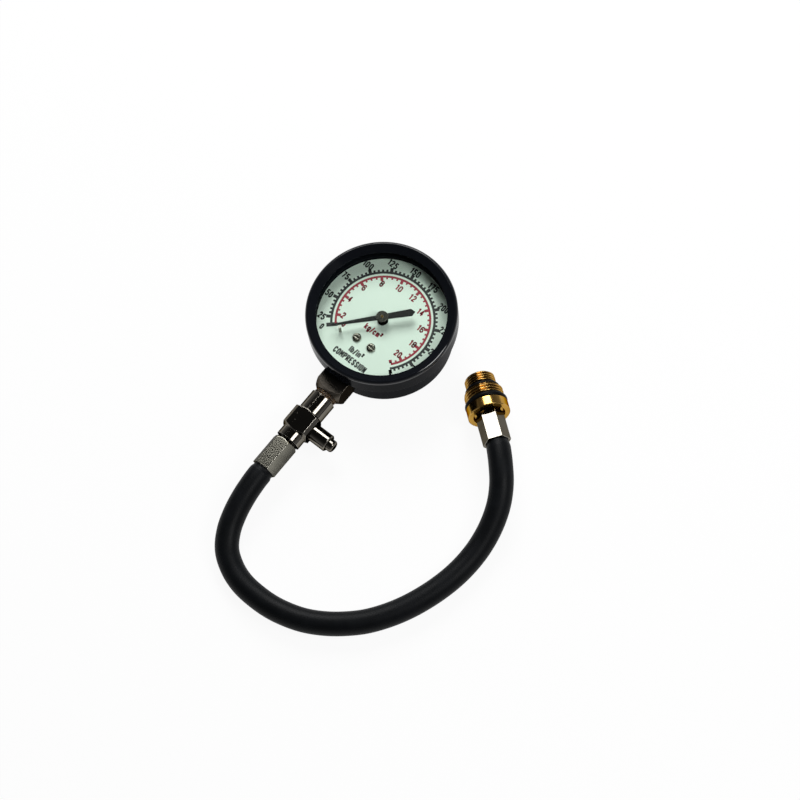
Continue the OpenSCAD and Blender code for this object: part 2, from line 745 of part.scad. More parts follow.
module bourdon_tube() {
    color(bronze) rotate(tube_from) rotate_extrude(angle = tube_to - tube_from, $fn = round_fn)
        translate([tube_r, stem_z]) difference() {
            oval(tube_w, tube_h);
            oval(tube_w - 2 * tube_wall, tube_h - 2 * tube_wall);
        }
}

module plate_outline() {
    difference() {
        union() {
            strip([0, 0], sector_at, plate_arm_w, plate_eye_d);
            for (at = pillar_at) strip([0, 0], at, plate_arm_w, plate_boss_d);
            children();
        }
        for (at = pillar_at) translate(at) circle(d = journal_d + 2 * fit_gap, $fn = round_fn);
        circle(d = journal_d + 2 * run_gap, $fn = round_fn);
        translate(sector_at) circle(d = journal_d + 2 * run_gap, $fn = round_fn);
    }
}

module movement_back_plate() {
    color(brass) translate([0, 0, plate_z]) linear_extrude(plate_t) difference() {
        plate_outline() for (at = movement_screw_at)
            strip([at[0], 0], at, movement_screw_head_d, movement_screw_head_d + pad_margin);
        for (at = movement_screw_at) translate(at)
            circle(d = movement_screw_d + 2 * sheet_gap, $fn = round_fn);
    }
}

module movement_front_plate() {
    color(brass) {
        translate([0, 0, plate_top_z]) linear_extrude(plate_t) plate_outline();
        rotate(hairspring_bearing) translate([stud_r, 0, hairspring_z])
            rod(stud_d, plate_top_z - hairspring_z);
    }
}

module movement_pillars() {
    color(brass) for (at = pillar_at) translate([at[0], at[1], plate_z]) {
        rod(journal_d, plate_gap + 2 * plate_t);
        translate([0, 0, plate_t]) rod(pillar_d, plate_gap);
    }
}

module movement_screws() {
    color(steel) for (at = movement_screw_at) translate([at[0], at[1], plate_z + plate_t])
        pan_screw(movement_screw_d, movement_screw_head_d, movement_screw_head_h,
            plate_t + movement_screw_depth);
}

module stem_socket() {
    corner_r = norm([stem_half, stem_half]) + corner_over;
    color(nickel) difference() {
        union() {
            along_stem() intersection() {
                translate([-stem_half, -stem_half, pad_near_y])
                    cube([stem_w, stem_w, stem_end_y - pad_near_y]);
                rotate_extrude($fn = round_fn) polygon([[0, 0], [corner_r, 0],
                    [corner_r, stem_flat_y - through], [stem_neck_r, stem_end_y], [0, stem_end_y]]);
            }
            translate([-stem_half, -pad_far_y, stem_z])
                cube([stem_w, pad_far_y - pad_near_y, dial_under_z - stem_z]);
            translate([-stem_half, -foot_far_y, case_wall])
                cube([stem_w, foot_far_y - pad_near_y, stem_z - case_wall]);
            translate([-stem_half, -pad_near_y - through, case_wall])
                cube([stem_w, pad_near_y + through - tongue_y, plate_z - case_wall]);
            along_stem(stem_end_y - through) rod(spigot_d, spigot_l + through);
        }
        along_stem(tube_r) rod(passage_d, stem_end_y + spigot_l);
        rotate(180) rotate_extrude(angle = tube_slot_to - 180, $fn = round_fn) translate([tube_r, stem_z])
            oval(tube_w + 2 * run_gap, tube_h + 2 * run_gap);
        for (at = dial_screw_at) translate([at[0], at[1], dial_under_z - screw_depth - through])
            rod(dial_screw_d + 2 * fit_gap, screw_depth + 2 * through);
        for (at = movement_screw_at) translate([at[0], at[1], plate_z - movement_screw_depth - through])
            rod(movement_screw_d + 2 * fit_gap, movement_screw_depth + 2 * through);
        for (at = case_screw_at) translate([at[0], at[1], 0]) {
            rod(case_screw_d + 2 * fit_gap, case_wall + screw_depth);
            cylinder(d1 = case_screw_head_d + 2 * sheet_gap, h = case_screw_sink,
                d2 = case_screw_d + 2 * fit_gap, $fn = round_fn);
        }
    }
}

module case_screws() {
    color(steel) for (at = case_screw_at) translate([at[0], at[1], 0]) difference() {
        union() {
            cylinder(d1 = case_screw_head_d, d2 = case_screw_d, h = case_screw_sink, $fn = round_fn);
            rod(case_screw_d, case_wall + screw_depth - through);
        }
        translate([-case_screw_head_d, -case_screw_d / 8, -through])
            cube([2 * case_screw_head_d, case_screw_d / 4, through + case_screw_sink / 2]);
    }
}

module inlet_restrictor() {
    slot_w = passage_d / 5;
    color(brass) along_stem(stem_end_y + spigot_l - through - restrictor_l) difference() {
        rod(passage_d - 2 * fit_gap, restrictor_l);
        translate([0, 0, -through]) rod(passage_d / 8, restrictor_l + 2 * through);
        translate([-passage_d, -slot_w / 2, restrictor_l - slot_w])
            cube([2 * passage_d, slot_w, 2 * slot_w]);
    }
}

// Square bar with its long edges chamfered
module bar_outline(w, chamfer) {
    intersection() {
        square(w, center = true);
        rotate(45) square(w * sqrt(2) - chamfer * sqrt(2), center = true);
    }
}

module tee_body() {
    corner_r = norm([tee_w / 2, tee_w / 2 - tee_chamfer]) + corner_over;
    end_r = tee_w / 2 * 0.94;
    color(nickel) difference() {
        union() {
            along_stem(tee_top_y) rod(collar_d, collar_l + through);
            intersection() {
                along_stem(body_top) linear_extrude(tee_l) bar_outline(tee_w, tee_chamfer);
                along_stem(body_top) rotate_extrude($fn = round_fn) polygon([[0, 0], [end_r, 0],
                    [corner_r, tee_turned_l], [corner_r, tee_l - tee_turned_l],
                    [end_r, tee_l], [0, tee_l]]);
            }
            along_stem(body_end - through) rod(lower_collar_d, lower_collar_l + through);
        }
        along_stem(tee_top_y - through) rod(spigot_d + 2 * fit_gap, collar_l + through);
        along_stem(body_top - through) rod(passage_d, tee_l + lower_collar_l + 2 * through);
        along_stem(tee_end - nipple_thread_l) rod(nipple_thread_d + 2 * fit_gap, nipple_thread_l + through);
        along_branch(pocket_x) rod(poppet_d + 2 * free_gap, seat_x - pocket_x + through);
        along_branch(seat_x) rod(port_d + 2 * fit_gap, port_depth + through);
    }
}

module relief_sleeve() {
    edge = 0.4;
    color(nickel) along_branch() difference() {
        rotate_extrude($fn = round_fn) polygon([[0, seat_x], [port_d / 2, seat_x],
            [port_d / 2, sleeve_from], [sleeve_d / 2, sleeve_from], [sleeve_d / 2, sleeve_end - edge],
            [sleeve_d / 2 - edge, sleeve_end], [0, sleeve_end]]);
        translate([0, 0, seat_x - through]) rod(stem_hole_d, sleeve_end);
        translate([0, 0, chamber_from]) rod(chamber_d, sleeve_end - mouth_t - chamber_from);
        translate([0, 0, sleeve_end - mouth_t - through])
            rod(button_d + 2 * run_gap, mouth_t + 2 * through);
    }
}

module relief_plunger() {
    crown_r = 1.2;
    button_r = button_d / 2;
    color(nickel) along_branch() {
        rotate_extrude($fn = round_fn) {
            translate([0, button_flange_x]) square([button_r, button_end - crown_r - button_flange_x]);
            translate([0, button_end - crown_r]) square([button_r - crown_r, crown_r]);
            translate([button_r - crown_r, button_end - crown_r]) intersection() {
                circle(r = crown_r, $fn = round_fn);
                square(crown_r);
            }
            translate([0, button_flange_x]) square([chamber_d / 2 - sheet_gap, button_flange_t]);
            translate([0, seat_x - seal_t]) square([plunger_stem_d / 2, button_flange_x - seat_x + seal_t]);
            translate([0, seat_x - seal_t - poppet_t]) square([poppet_d / 2, poppet_t]);
        }
    }
}

module relief_spring() {
    coil_r = (plunger_stem_d + relief_wire) / 2 + 2 * free_gap;
    color(steel) along_branch(chamber_from + sheet_gap)
        coil(coil_r, button_flange_x - chamber_from - 2 * sheet_gap, relief_turns, relief_wire);
}

module relief_seal() {
    color(rubber) along_branch(seat_x - seal_t) difference() {
        rod(poppet_d, seal_t);
        translate([0, 0, -through]) rod(plunger_stem_d + 2 * fit_gap, seal_t + 2 * through);
    }
}

// Barbed nipple along +Z: thread below z = 0, neck through the ferrule's end wall, barb in the hose
module nipple(neck) {
    ridges = 4;
    ridge_l = nipple_l / ridges;
    difference() {
        union() {
            translate([0, 0, -nipple_thread_l]) rod(nipple_thread_d, nipple_thread_l);
            rod(nipple_neck_d, neck);
            rotate_extrude($fn = round_fn) translate([0, neck]) polygon([[0, 0],
                for (k = [0 : ridges - 1]) each [[nipple_d / 2, k * ridge_l],
                    [nipple_d / 2 - free_gap, (k + 1) * ridge_l]],
                [0, nipple_l]]);
        }
        translate([0, 0, -nipple_thread_l - through]) rod(nipple_bore_d, nipple_thread_l + neck + nipple_l
            + 2 * through);
    }
}

module gauge_nipple() {
    color(brass) along_stem(tee_end) nipple(ferrule_gap + ferrule_end_t);
}

// Hexagonal crimped ferrule along +Z with turned ends, closed at z = 0
module ferrule(roll) {
    corner_r = ferrule_af / sqrt(3);
    turned_r = corner_r + corner_over;
    end_r = ferrule_af / 2 * 0.9;
    turned_l = 1.4;
    difference() {
        intersection() {
            rotate(roll) cylinder(r = corner_r, h = ferrule_l, $fn = 6);
            rotate_extrude($fn = round_fn) polygon([[0, 0], [end_r, 0], [turned_r, turned_l],
                [turned_r, ferrule_l], [0, ferrule_l]]);
        }
        translate([0, 0, -through]) rod(nipple_neck_d + 2 * fit_gap, ferrule_l);
        translate([0, 0, ferrule_end_t]) rod(ferrule_bore_d, ferrule_l);
    }
}

module gauge_ferrule() {
    color(nickel) along_stem(ferrule_top) ferrule(gauge_roll);
}

module hose() {
    sides = hose_sides;
    count = len(hose_route);
    bore = nipple_d / 2 / cos(180 / sides) + fit_gap;
    outside = function (i) i < hose_gripped || i > hose_last - hose_gripped ? hose_grip_d / 2 : hose_d / 2;
    points = concat([for (i = [0 : count - 1]) each route_ring(hose_route, i, outside(i), sides)],
        [for (i = [0 : count - 1]) each route_ring(hose_route, i, max(bore, hose_bore_d / 2), sides)]);
    inside = count * sides;
    color(rubber) polyhedron(points, concat(
        [for (i = [0 : count - 2], k = [0 : sides - 1]) let (n = (k + 1) % sides, a = i * sides)
            [a + k, a + sides + k, a + sides + n, a + n]],
        [for (i = [0 : count - 2], k = [0 : sides - 1]) let (n = (k + 1) % sides, a = inside + i * sides)
            [a + n, a + sides + n, a + sides + k, a + k]],
        [for (k = [0 : sides - 1]) let (n = (k + 1) % sides) [k, n, inside + n, inside + k]],
        [for (k = [0 : sides - 1]) let (n = (k + 1) % sides, a = (count - 1) * sides)
            [a + n, a + k, inside + a + k, inside + a + n]]));
}

module adaptor_ferrule() {
    color(nickel) along_adaptor(nose_s) mirror([0, 0, 1]) ferrule(adaptor_roll);
}

module adaptor_nipple() {
    color(brass) along_adaptor(recess_depth) mirror([0, 0, 1])
        nipple(recess_depth - nose_s + ferrule_end_t);
}

module plug_adaptor() {
    flange_r = flange_d / 2;
    large_r = large_thread_d / 2;
    small_r = small_thread_d / 2;
    c = adaptor_chamfer;
    large_root_r = large_ring_d / 2 - large_ring_cord - fit_gap;
    small_root_r = small_ring_d / 2 - small_ring_cord - fit_gap;
    color(brass) along_adaptor() difference() {
        rotate_extrude($fn = round_fn) polygon([[0, 0], [flange_r - c / 2, 0], [flange_r, c / 2],
            [flange_r, flange_l - c / 2], [flange_r - c / 2, flange_l], [large_root_r, flange_l],
            [large_root_r, large_thread_s], [large_r - c, large_thread_s], [large_r, large_thread_s + c],
            [large_r, step_s - c], [large_r - c, step_s], [small_root_r, step_s],
            [small_root_r, small_thread_s],
            [small_r - c, small_thread_s], [small_r, small_thread_s + c], [small_r, tip_s - c],
            [small_r - c, tip_s], [0, tip_s]]);
        cylinder(d1 = recess_d, d2 = recess_floor_d, h = recess_depth, $fn = round_fn);
        rod(nipple_thread_d + 2 * fit_gap, recess_depth + nipple_thread_l + sheet_gap);
        rod(nipple_bore_d, core_chamber_s + through);
        translate([0, 0, core_chamber_s]) rod(core_d + 2 * fit_gap, tip_s);
    }
}

module large_o_ring() {
    color(rubber) along_adaptor(large_ring_s) rotate_extrude($fn = round_fn)
        translate([rest_ring_r, 0]) circle(d = large_ring_cord, $fn = round_fn);
}

module small_o_ring() {
    color(rubber) along_adaptor(small_ring_s) rotate_extrude($fn = round_fn)
        translate([small_ring_d / 2 - small_ring_cord / 2, 0]) circle(d = small_ring_cord, $fn = round_fn);
}

module valve_core() {
    color(brass) along_adaptor(core_from) difference() {
        rod(core_d, core_l);
        translate([0, 0, -through]) rod(pin_hole_d, core_l);
        translate([0, 0, core_shoulder - core_from]) rod(core_bore_d, core_guide - core_shoulder);
        translate([0, 0, core_guide - core_from - through]) rod(pin_d + 2 * run_gap, core_l);
    }
}

module valve_pin() {
    disc_s = core_from - pin_seal_t - pin_disc_t;
    color(steel) {
        along_adaptor(disc_s) rod(pin_d, core_end + pin_out - disc_s);
        along_adaptor(disc_s) rod(core_d - 4 * sheet_gap, pin_disc_t);
        along_adaptor(pin_collar_s) rod(pin_collar_d, pin_collar_t);
    }
}

module valve_seal() {
    color(rubber) along_adaptor(core_from - pin_seal_t) difference() {
        rod(core_d - 4 * sheet_gap, pin_seal_t);
        translate([0, 0, -through]) rod(pin_d + 2 * fit_gap, pin_seal_t + 2 * through);
    }
}

module valve_spring() {
    color(steel) along_adaptor(core_shoulder + sheet_gap)
        coil((core_bore_d - valve_wire) / 2 - sheet_gap, pin_collar_s - core_shoulder - 2 * sheet_gap,
            valve_turns, valve_wire, 8, 14);
}

case_cup();
bezel();
window();
window_gasket();
dial_plate();
dial_screws();
stop_pin();
pointer();
pointer_hub();
pinion_arbor();
hairspring();
sector_gear();
sector_arbor();
link();
tube_tip();
bourdon_tube();
movement_back_plate();
movement_front_plate();
movement_pillars();
movement_screws();
stem_socket();
case_screws();
inlet_restrictor();
tee_body();
relief_sleeve();
relief_plunger();
relief_spring();
relief_seal();
gauge_nipple();
gauge_ferrule();
hose();
adaptor_ferrule();
adaptor_nipple();
plug_adaptor();
large_o_ring();
small_o_ring();
valve_core();
valve_pin();
valve_spring();
valve_seal();
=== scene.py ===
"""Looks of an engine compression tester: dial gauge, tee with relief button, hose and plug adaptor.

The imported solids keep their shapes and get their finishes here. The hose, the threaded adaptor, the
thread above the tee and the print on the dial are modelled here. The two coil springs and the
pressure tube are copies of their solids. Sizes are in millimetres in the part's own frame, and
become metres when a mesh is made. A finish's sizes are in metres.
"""

import logging
import math
from dataclasses import dataclass, field
from enum import Enum
from typing import Any, Union

import bmesh
import bpy
from mathutils import Euler, Matrix, Vector


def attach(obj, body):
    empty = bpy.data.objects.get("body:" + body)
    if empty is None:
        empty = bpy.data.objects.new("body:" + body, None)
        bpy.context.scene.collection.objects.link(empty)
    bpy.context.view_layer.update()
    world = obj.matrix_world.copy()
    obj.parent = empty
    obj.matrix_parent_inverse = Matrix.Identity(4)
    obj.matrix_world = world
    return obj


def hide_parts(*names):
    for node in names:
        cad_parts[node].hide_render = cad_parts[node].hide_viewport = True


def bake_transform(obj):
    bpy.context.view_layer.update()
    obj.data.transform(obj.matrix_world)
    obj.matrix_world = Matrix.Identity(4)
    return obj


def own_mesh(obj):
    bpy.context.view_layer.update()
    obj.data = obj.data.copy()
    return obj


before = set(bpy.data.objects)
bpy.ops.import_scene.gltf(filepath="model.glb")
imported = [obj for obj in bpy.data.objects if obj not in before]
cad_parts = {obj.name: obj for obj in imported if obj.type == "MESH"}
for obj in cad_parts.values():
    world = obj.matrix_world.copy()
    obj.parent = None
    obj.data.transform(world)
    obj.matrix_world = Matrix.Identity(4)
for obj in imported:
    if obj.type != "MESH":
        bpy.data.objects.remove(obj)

MM = 0.001
ROOT_BODY = "tester"
MERGE = 1e-7
GROOVE = "groove"
log = logging.getLogger("tester")

Operand = Union["Val", float]
Point = tuple[float, float, float]
Profile = list[tuple[float, float]]


def linear(code: str) -> tuple[float, float, float, float]:
    """Turn a written colour into the linear colour that a socket takes.

    Args:
        code: Colour as "#rrggbb".

    Returns:
        Linear red, green, blue and an alpha of 1.
    """
    parts = [int(code[i:i + 2], 16) / 255 for i in (1, 3, 5)]
    red, green, blue = (p / 12.92 if p <= 0.04045 else ((p + 0.055) / 1.055) ** 2.4 for p in parts)
    return red, green, blue, 1.0


@dataclass(frozen=True)
class Val:
    """One output socket, with arithmetic that adds Math nodes to its graph."""

    graph: "Graph"
    socket: bpy.types.NodeSocket

    def math(self, operation: str, *others: Operand) -> "Val":
        """Add a Math node on this value and the others.

        Args:
            operation: Name of the Math node's operation.
            others: Further operands, in order.

        Returns:
            The result.
        """
        return self.graph.node("ShaderNodeMath", {"operation": operation}, dict(enumerate((self, *others))))

    def __add__(self, other: Operand) -> "Val":
        """Sum."""
        return self.math("ADD", other)

    __radd__ = __add__

    def __mul__(self, other: Operand) -> "Val":
        """Product."""
        return self.math("MULTIPLY", other)

    __rmul__ = __mul__

    def __sub__(self, other: Operand) -> "Val":
        """Difference."""
        return self.math("SUBTRACT", other)

    def __rsub__(self, other: float) -> "Val":
        """Difference from a number."""
        return self.graph.node("ShaderNodeMath", {"operation": "SUBTRACT"}, {0: other, 1: self})

    def clamp(self) -> "Val":
        """Keep the value between 0 and 1."""
        return self.graph.node("ShaderNodeClamp", {}, {"Value": self})


@dataclass(frozen=True)
class Speckle:
    """Noise of a finish: features in a metre, octaves, and the values between which it rises."""

    scale: float
    detail: float
    span: tuple[float, float] | None = None


@dataclass(frozen=True)
class Graph:
    """Node tree of one material or of the world."""

    tree: bpy.types.NodeTree

    BEVEL_RAYS = 6
    EDGE_SPAN = (0.8, 0.995)

    def node(self, kind: str, settings: dict[str, Any], inputs: dict[Any, Any], output: Any = 0) -> Val:
        """Add one node.

        Args:
            kind: Type of the node.
            settings: Values of the node itself, with "stops" for a ramp's (position, colour) pairs.
            inputs: Values or links of its input sockets, by name or number.
            output: Name or number of the output to give back.

        Returns:
            The chosen output.
        """
        made = self.tree.nodes.new(kind)
        for key, value in settings.items():
            if key != "stops":
                setattr(made, key, value)
                continue
            elements = made.color_ramp.elements
            for extra in range(len(value) - len(elements)):
                elements.new(1.0)
            for element, (position, colour) in zip(elements, value):
                element.position, element.color = position, colour
        for key, value in inputs.items():
            if isinstance(value, Val):
                self.tree.links.new(value.socket, made.inputs[key])
            else:
                made.inputs[key].default_value = value
        return Val(self, made.outputs[output] if made.outputs else None)

    def place(self) -> Val:
        """Object coordinates, in metres."""
        return self.node("ShaderNodeTexCoord", {}, {}, "Object")

    def noise(self, vector: Val, speckle: Speckle) -> Val:
        """Add a noise texture.

        Args:
            vector: Coordinates.
            speckle: Size and contrast of the noise.

        Returns:
            Noise from 0 to 1.
        """
        made = self.node("ShaderNodeTexNoise", {},
                         {"Vector": vector, "Scale": speckle.scale, "Detail": speckle.detail})
        return self.step(made, *speckle.span) if speckle.span else made

    def step(self, value: Val, low: float, high: float) -> Val:
        """Rise smoothly from 0 at low to 1 at high."""
        return self.node("ShaderNodeMapRange", {"interpolation_type": "SMOOTHSTEP"},
                         {"Value": value, "From Min": low, "From Max": high})

    def mix(self, share: Operand, first: Any, second: Any) -> Val:
        """Mix two colours.

        Args:
            share: How much of the second colour.
            first: First colour.
            second: Second colour.

        Returns:
            The mixed colour.
        """
        return self.node("ShaderNodeMix", {"data_type": "RGBA"}, {0: share, 6: first, 7: second}, 2)

    def bevel(self, radius: float) -> Val:
        """Normal that is rounded over the edges by a radius in metres."""
        return self.node("ShaderNodeBevel", {"samples": self.BEVEL_RAYS}, {"Radius": radius})

    def edges(self, radius: float) -> Val:
        """Find the sharp edges.

        Args:
            radius: Reach from an edge in metres.

        Returns:
            Mask that is 1 on an edge and 0 away from it.
        """
        flat = self.node("ShaderNodeNewGeometry", {}, {}, "Normal")
        along = self.node("ShaderNodeVectorMath", {"operation": "DOT_PRODUCT"},
                          {0: self.bevel(radius), 1: flat}, "Value")
        return 1.0 - self.step(along, *self.EDGE_SPAN)

    def about_z(self, vector: Val) -> tuple[Val, Val]:
        """Take coordinates apart into what a lathe would set.

        Args:
            vector: Coordinates.

        Returns:
            Distance from the Z axis, and height along it.
        """
        flat = self.node("ShaderNodeVectorMath", {"operation": "MULTIPLY"}, {0: vector, 1: (1.0, 1.0, 0.0)})
        radius = self.node("ShaderNodeVectorMath", {"operation": "LENGTH"}, {0: flat}, "Value")
        return radius, self.node("ShaderNodeSeparateXYZ", {}, {0: vector}, "Z")

    def bump(self, height: Val, depth: float, base: Val | None = None) -> Val:
        """Add a bump.

        Args:
            height: Height from 0 to 1.
            depth: Full height in metres.
            base: Normal that the bump stands on.

        Returns:
            The bumped normal.
        """
        inputs = {"Height": height, "Distance": depth, "Strength": 1.0}
        return self.node("ShaderNodeBump", {}, inputs | ({"Normal": base} if base else {}))

    def output(self, shader: Val, kind: str = "ShaderNodeOutputMaterial") -> None:
        """Send a shader to the surface."""
        self.node(kind, {}, {"Surface": shader})

    def surface(self, inputs: dict[str, Any]) -> None:
        """Finish the graph with one Principled shader."""
        self.output(self.node("ShaderNodeBsdfPrincipled", {}, inputs))


@dataclass(frozen=True)
class Finish:
    """One finish, made into a material the first time it is used."""

    name: str
    colour: str
    roughness: float

    def material(self) -> bpy.types.Material:
        """Make the material, or give back the one that is there.

        Returns:
            The material of this finish.
        """
        label = f"finish_{self.name}"
        found = bpy.data.materials.get(label)
        if found is None:
            found = bpy.data.materials.new(label)
            found.use_nodes = True
            found.node_tree.nodes.clear()
            self.shade(Graph(found.node_tree))
            found.diffuse_color = linear(self.colour)
        return found

    def shade(self, graph: Graph) -> None:
        """Build the nodes of the finish; each finish has its own.

        Args:
            graph: Graph of the finish.
        """
        raise NotImplementedError


@dataclass(frozen=True)
class Enamel(Finish):
    """Gloss black baked paint with a little orange peel and paler edges, partly wear and partly a painted
    highlight.
    """

    worn_and_highlit_edge: str = "#2a2d33"
    gloss: float = 0.2
    rim: tuple[float, float] = (1.0, 1.0)
    rim_fade: tuple[float, float] = (0.0005, 0.0008)
    edge: float = 0.0002
    rounding: float = 0.00018
    peel_depth: float = 0.000003
    coat_roughness: float = 0.06
    CLOUD = Speckle(90.0, 4.0)
    PEEL = Speckle(1300.0, 1.0)
    WEAR = Speckle(500.0, 3.0, (0.35, 0.7))

    def shade(self, graph: Graph) -> None:
        """Build the nodes of the paint, glossier beyond the rim's radius and height.

        Args:
            graph: Graph of the finish.
        """
        place = graph.place()
        outer, upper = (graph.step(value, start, start + fade) for value, start, fade in zip(
            graph.about_z(place), self.rim, self.rim_fade))
        cloud = graph.noise(place, self.CLOUD)
        peel = graph.noise(place, self.PEEL)
        # Paler paint along the edges: partly wear, partly a painted highlight line on the rims.
        wear_and_highlight = graph.edges(self.edge) * graph.noise(place, self.WEAR)
        graph.surface({
            "Base Color": graph.mix(wear_and_highlight, linear(self.colour), linear(self.worn_and_highlit_edge)),
            "Roughness": self.roughness + 0.05 * cloud,
            "Specular IOR Level": self.gloss,
            "Coat Weight": outer * upper,
            "Coat Roughness": self.coat_roughness,
            "Normal": graph.bump(peel, self.peel_depth, graph.bevel(self.rounding)),
        })


@dataclass(frozen=True)
class Glass(Finish):
    """Thin clear window that mirrors more at a flat angle."""

    ior: float = 1.42

    def shade(self, graph: Graph) -> None:
        """Build the nodes of the window.

        Args:
            graph: Graph of the finish.
        """
        clear = graph.node("ShaderNodeBsdfTransparent", {}, {"Color": linear(self.colour)})
        mirror = graph.node("ShaderNodeBsdfGlossy", {}, {"Roughness": self.roughness})
        gloss = graph.node("ShaderNodeFresnel", {}, {"IOR": self.ior})
        behind = graph.node("ShaderNodeNewGeometry", {}, {}, "Backfacing")
        graph.output(graph.node("ShaderNodeMixShader", {}, {0: gloss * (1.0 - behind), 1: clear, 2: mirror}))


@dataclass(frozen=True)
class Rubber(Finish):
    """Smooth moulded rubber with a faint bloom."""

    bloom: str = "#2b2c2d"
    sheen: float = 0.06
    grain: float = 0.000008
    CLOUD = Speckle(220.0, 5.0, (0.4, 0.75))
    GRAIN = Speckle(5000.0, 2.0)

    def shade(self, graph: Graph) -> None:
        """Build the nodes of the rubber.

        Args:
            graph: Graph of the finish.
        """
        place = graph.place()
        cloud = graph.noise(place, self.CLOUD)
        grain = graph.noise(place, self.GRAIN)
        graph.surface({
            "Base Color": graph.mix(0.35 * cloud, linear(self.colour), linear(self.bloom)),
            "Roughness": self.roughness + 0.12 * cloud,
            "Specular IOR Level": self.sheen,
            "Normal": graph.bump(grain, self.grain),
        })


@dataclass(frozen=True)
class HoseRubber(Rubber):
    """Matt hose cover with the faint imprint of its curing wrap, along the hose's own UV map."""

    sheen: float = 0.1
    grain: float = 0.00002
    wrap_lines: float = 260.0
    CLOUD = Speckle(130.0, 5.0, (0.35, 0.8))
    GRAIN = Speckle(3500.0, 3.0)
    DUST = Speckle(900.0, 4.0, (0.62, 0.8))

    def shade(self, graph: Graph) -> None:
        """Build the nodes of the hose cover.

        Args:
            graph: Graph of the finish.
        """
        place = graph.place()
        run = graph.node("ShaderNodeUVMap", {"uv_map": Hose.UV}, {})
        along = graph.node("ShaderNodeSeparateXYZ", {}, {0: run}, "X")
        round_it = graph.node("ShaderNodeSeparateXYZ", {}, {0: run}, "Y")
        lines = (along * self.wrap_lines + round_it).math("MULTIPLY", math.tau).math("SINE")
        cloud = graph.noise(place, self.CLOUD)
        grain = graph.noise(place, self.GRAIN)
        dust = graph.noise(place, self.DUST)
        graph.surface({
            "Base Color": graph.mix(0.3 * cloud + 0.2 * dust, linear(self.colour), linear(self.bloom)),
            "Roughness": self.roughness + 0.1 * cloud,
            "Specular IOR Level": self.sheen,
            "Normal": graph.bump(0.5 * grain + 0.2 * lines, self.grain),
        })


@dataclass(frozen=True)
class DialPaint(Finish):
    """Matt pale paint with a faint grain."""

    shade_colour: str = "#d3e0d2"
    grain: float = 0.000006
    CLOUD = Speckle(60.0, 4.0)
    GRAIN = Speckle(6000.0, 2.0)

    def shade(self, graph: Graph) -> None:
        """Build the nodes of the dial's paint.

        Args:
            graph: Graph of the finish.
        """
        place = graph.place()
        cloud = graph.noise(place, self.CLOUD)
        grain = graph.noise(place, self.GRAIN)
        graph.surface({
            "Base Color": graph.mix(0.6 * cloud, linear(self.colour), linear(self.shade_colour)),
            "Roughness": self.roughness + 0.1 * cloud,
            "Normal": graph.bump(grain, self.grain),
        })


@dataclass(frozen=True)
class PrintInk(Finish):
    """Screen printed ink with slightly uneven cover."""

    thin: str = "#2a2c2e"
    COVER = Speckle(1500.0, 3.0, (0.45, 0.85))

    def shade(self, graph: Graph) -> None:
        """Build the nodes of the ink.

        Args:
            graph: Graph of the finish.
        """
        place = graph.place()
        cover = graph.noise(place, self.COVER)
        graph.surface({
            "Base Color": graph.mix(0.4 * cover, linear(self.colour), linear(self.thin)),
            "Roughness": self.roughness + 0.1 * cover,
        })


@dataclass(frozen=True)
class Metal(Finish):
    """Bare or plated metal with cloudy polish, fine scratches, pits and a painted highlight along its edges.
    """

    tarnish: str = "#6f675d"
    tarnish_share: float = 0.35
    pits: float = 0.0
    edge: float = 0.0002
    rim: str = "#808080"
    haze: float = 0.06
    painted_edge_highlight: str = "#d8d5cc"
    grain: float = 0.000001
    scratches: Point = (2500.0, 300.0, 2500.0)
    CLOUD = Speckle(150.0, 5.0, (0.35, 0.75))
    SCRATCH = Speckle(1.0, 3.0)
    SPOTS = Speckle(1100.0, 3.0, (0.66, 0.74))

    def shade(self, graph: Graph) -> None:
        """Build the nodes of the metal.

        Args:
            graph: Graph of the finish.
        """
        place = graph.place()
        cloud = graph.noise(place, self.CLOUD)
        scratch = graph.noise(self.stretched(graph, place), self.SCRATCH)
        spots = self.pits * graph.noise(place, self.SPOTS)
        edges = graph.edges(self.edge)
        # Thread grooves take the tarnish colour by their depth: partly tarnish in the hollows, partly painted
        # shade.
        groove = graph.node("ShaderNodeAttribute", {"attribute_name": GROOVE}, {}, "Fac")
        # Sharp edges lose their tarnish and lean to a pale colour: a painted highlight along every edge.
        dull = (self.tarnish_share * cloud + spots - 0.5 * edges + groove).clamp()
        graph.surface({
            "Base Color": graph.mix(0.7 * edges, graph.mix(dull, linear(self.colour), linear(self.tarnish)),
                                    linear(self.painted_edge_highlight)),
            "Metallic": 1.0,
            "Roughness": self.roughness + self.haze * (cloud + scratch) + 0.3 * spots + 0.25 * edges,
            "Specular Tint": linear(self.rim),
            "Normal": graph.bump(scratch - spots, self.grain, graph.bevel(self.edge)),
        })

    def stretched(self, graph: Graph, place: Val) -> Val:
        """Coordinates of the fine scratches.

        Args:
            graph: Graph of the finish.
            place: Object coordinates.

        Returns:
            Coordinates drawn out along the part.
        """
        return graph.node("ShaderNodeMapping", {}, {"Vector": place, "Scale": self.scratches})


@dataclass(frozen=True)
class TurnedMetal(Metal):
    """Metal turned on a lathe, with fine rings about its own axis."""

    turn: Point = (0.0, 0.0, 0.0)
    centre: Point = (0.0, 0.0, 0.0)
    rings: float = 4000.0

    def stretched(self, graph: Graph, place: Val) -> Val:
        """Coordinates of the turning rings.

        Args:
            graph: Graph of the finish.
            place: Object coordinates.

        Returns:
            Distance along the axis and from it, scaled to fine rings.
        """
        local = graph.node("ShaderNodeMapping", {"vector_type": "TEXTURE"},
                           {"Vector": place, "Location": self.centre, "Rotation": self.turn})
        radius, height = graph.about_z(local)
        return graph.node("ShaderNodeCombineXYZ", {}, {0: radius * self.rings, 1: height * self.rings})


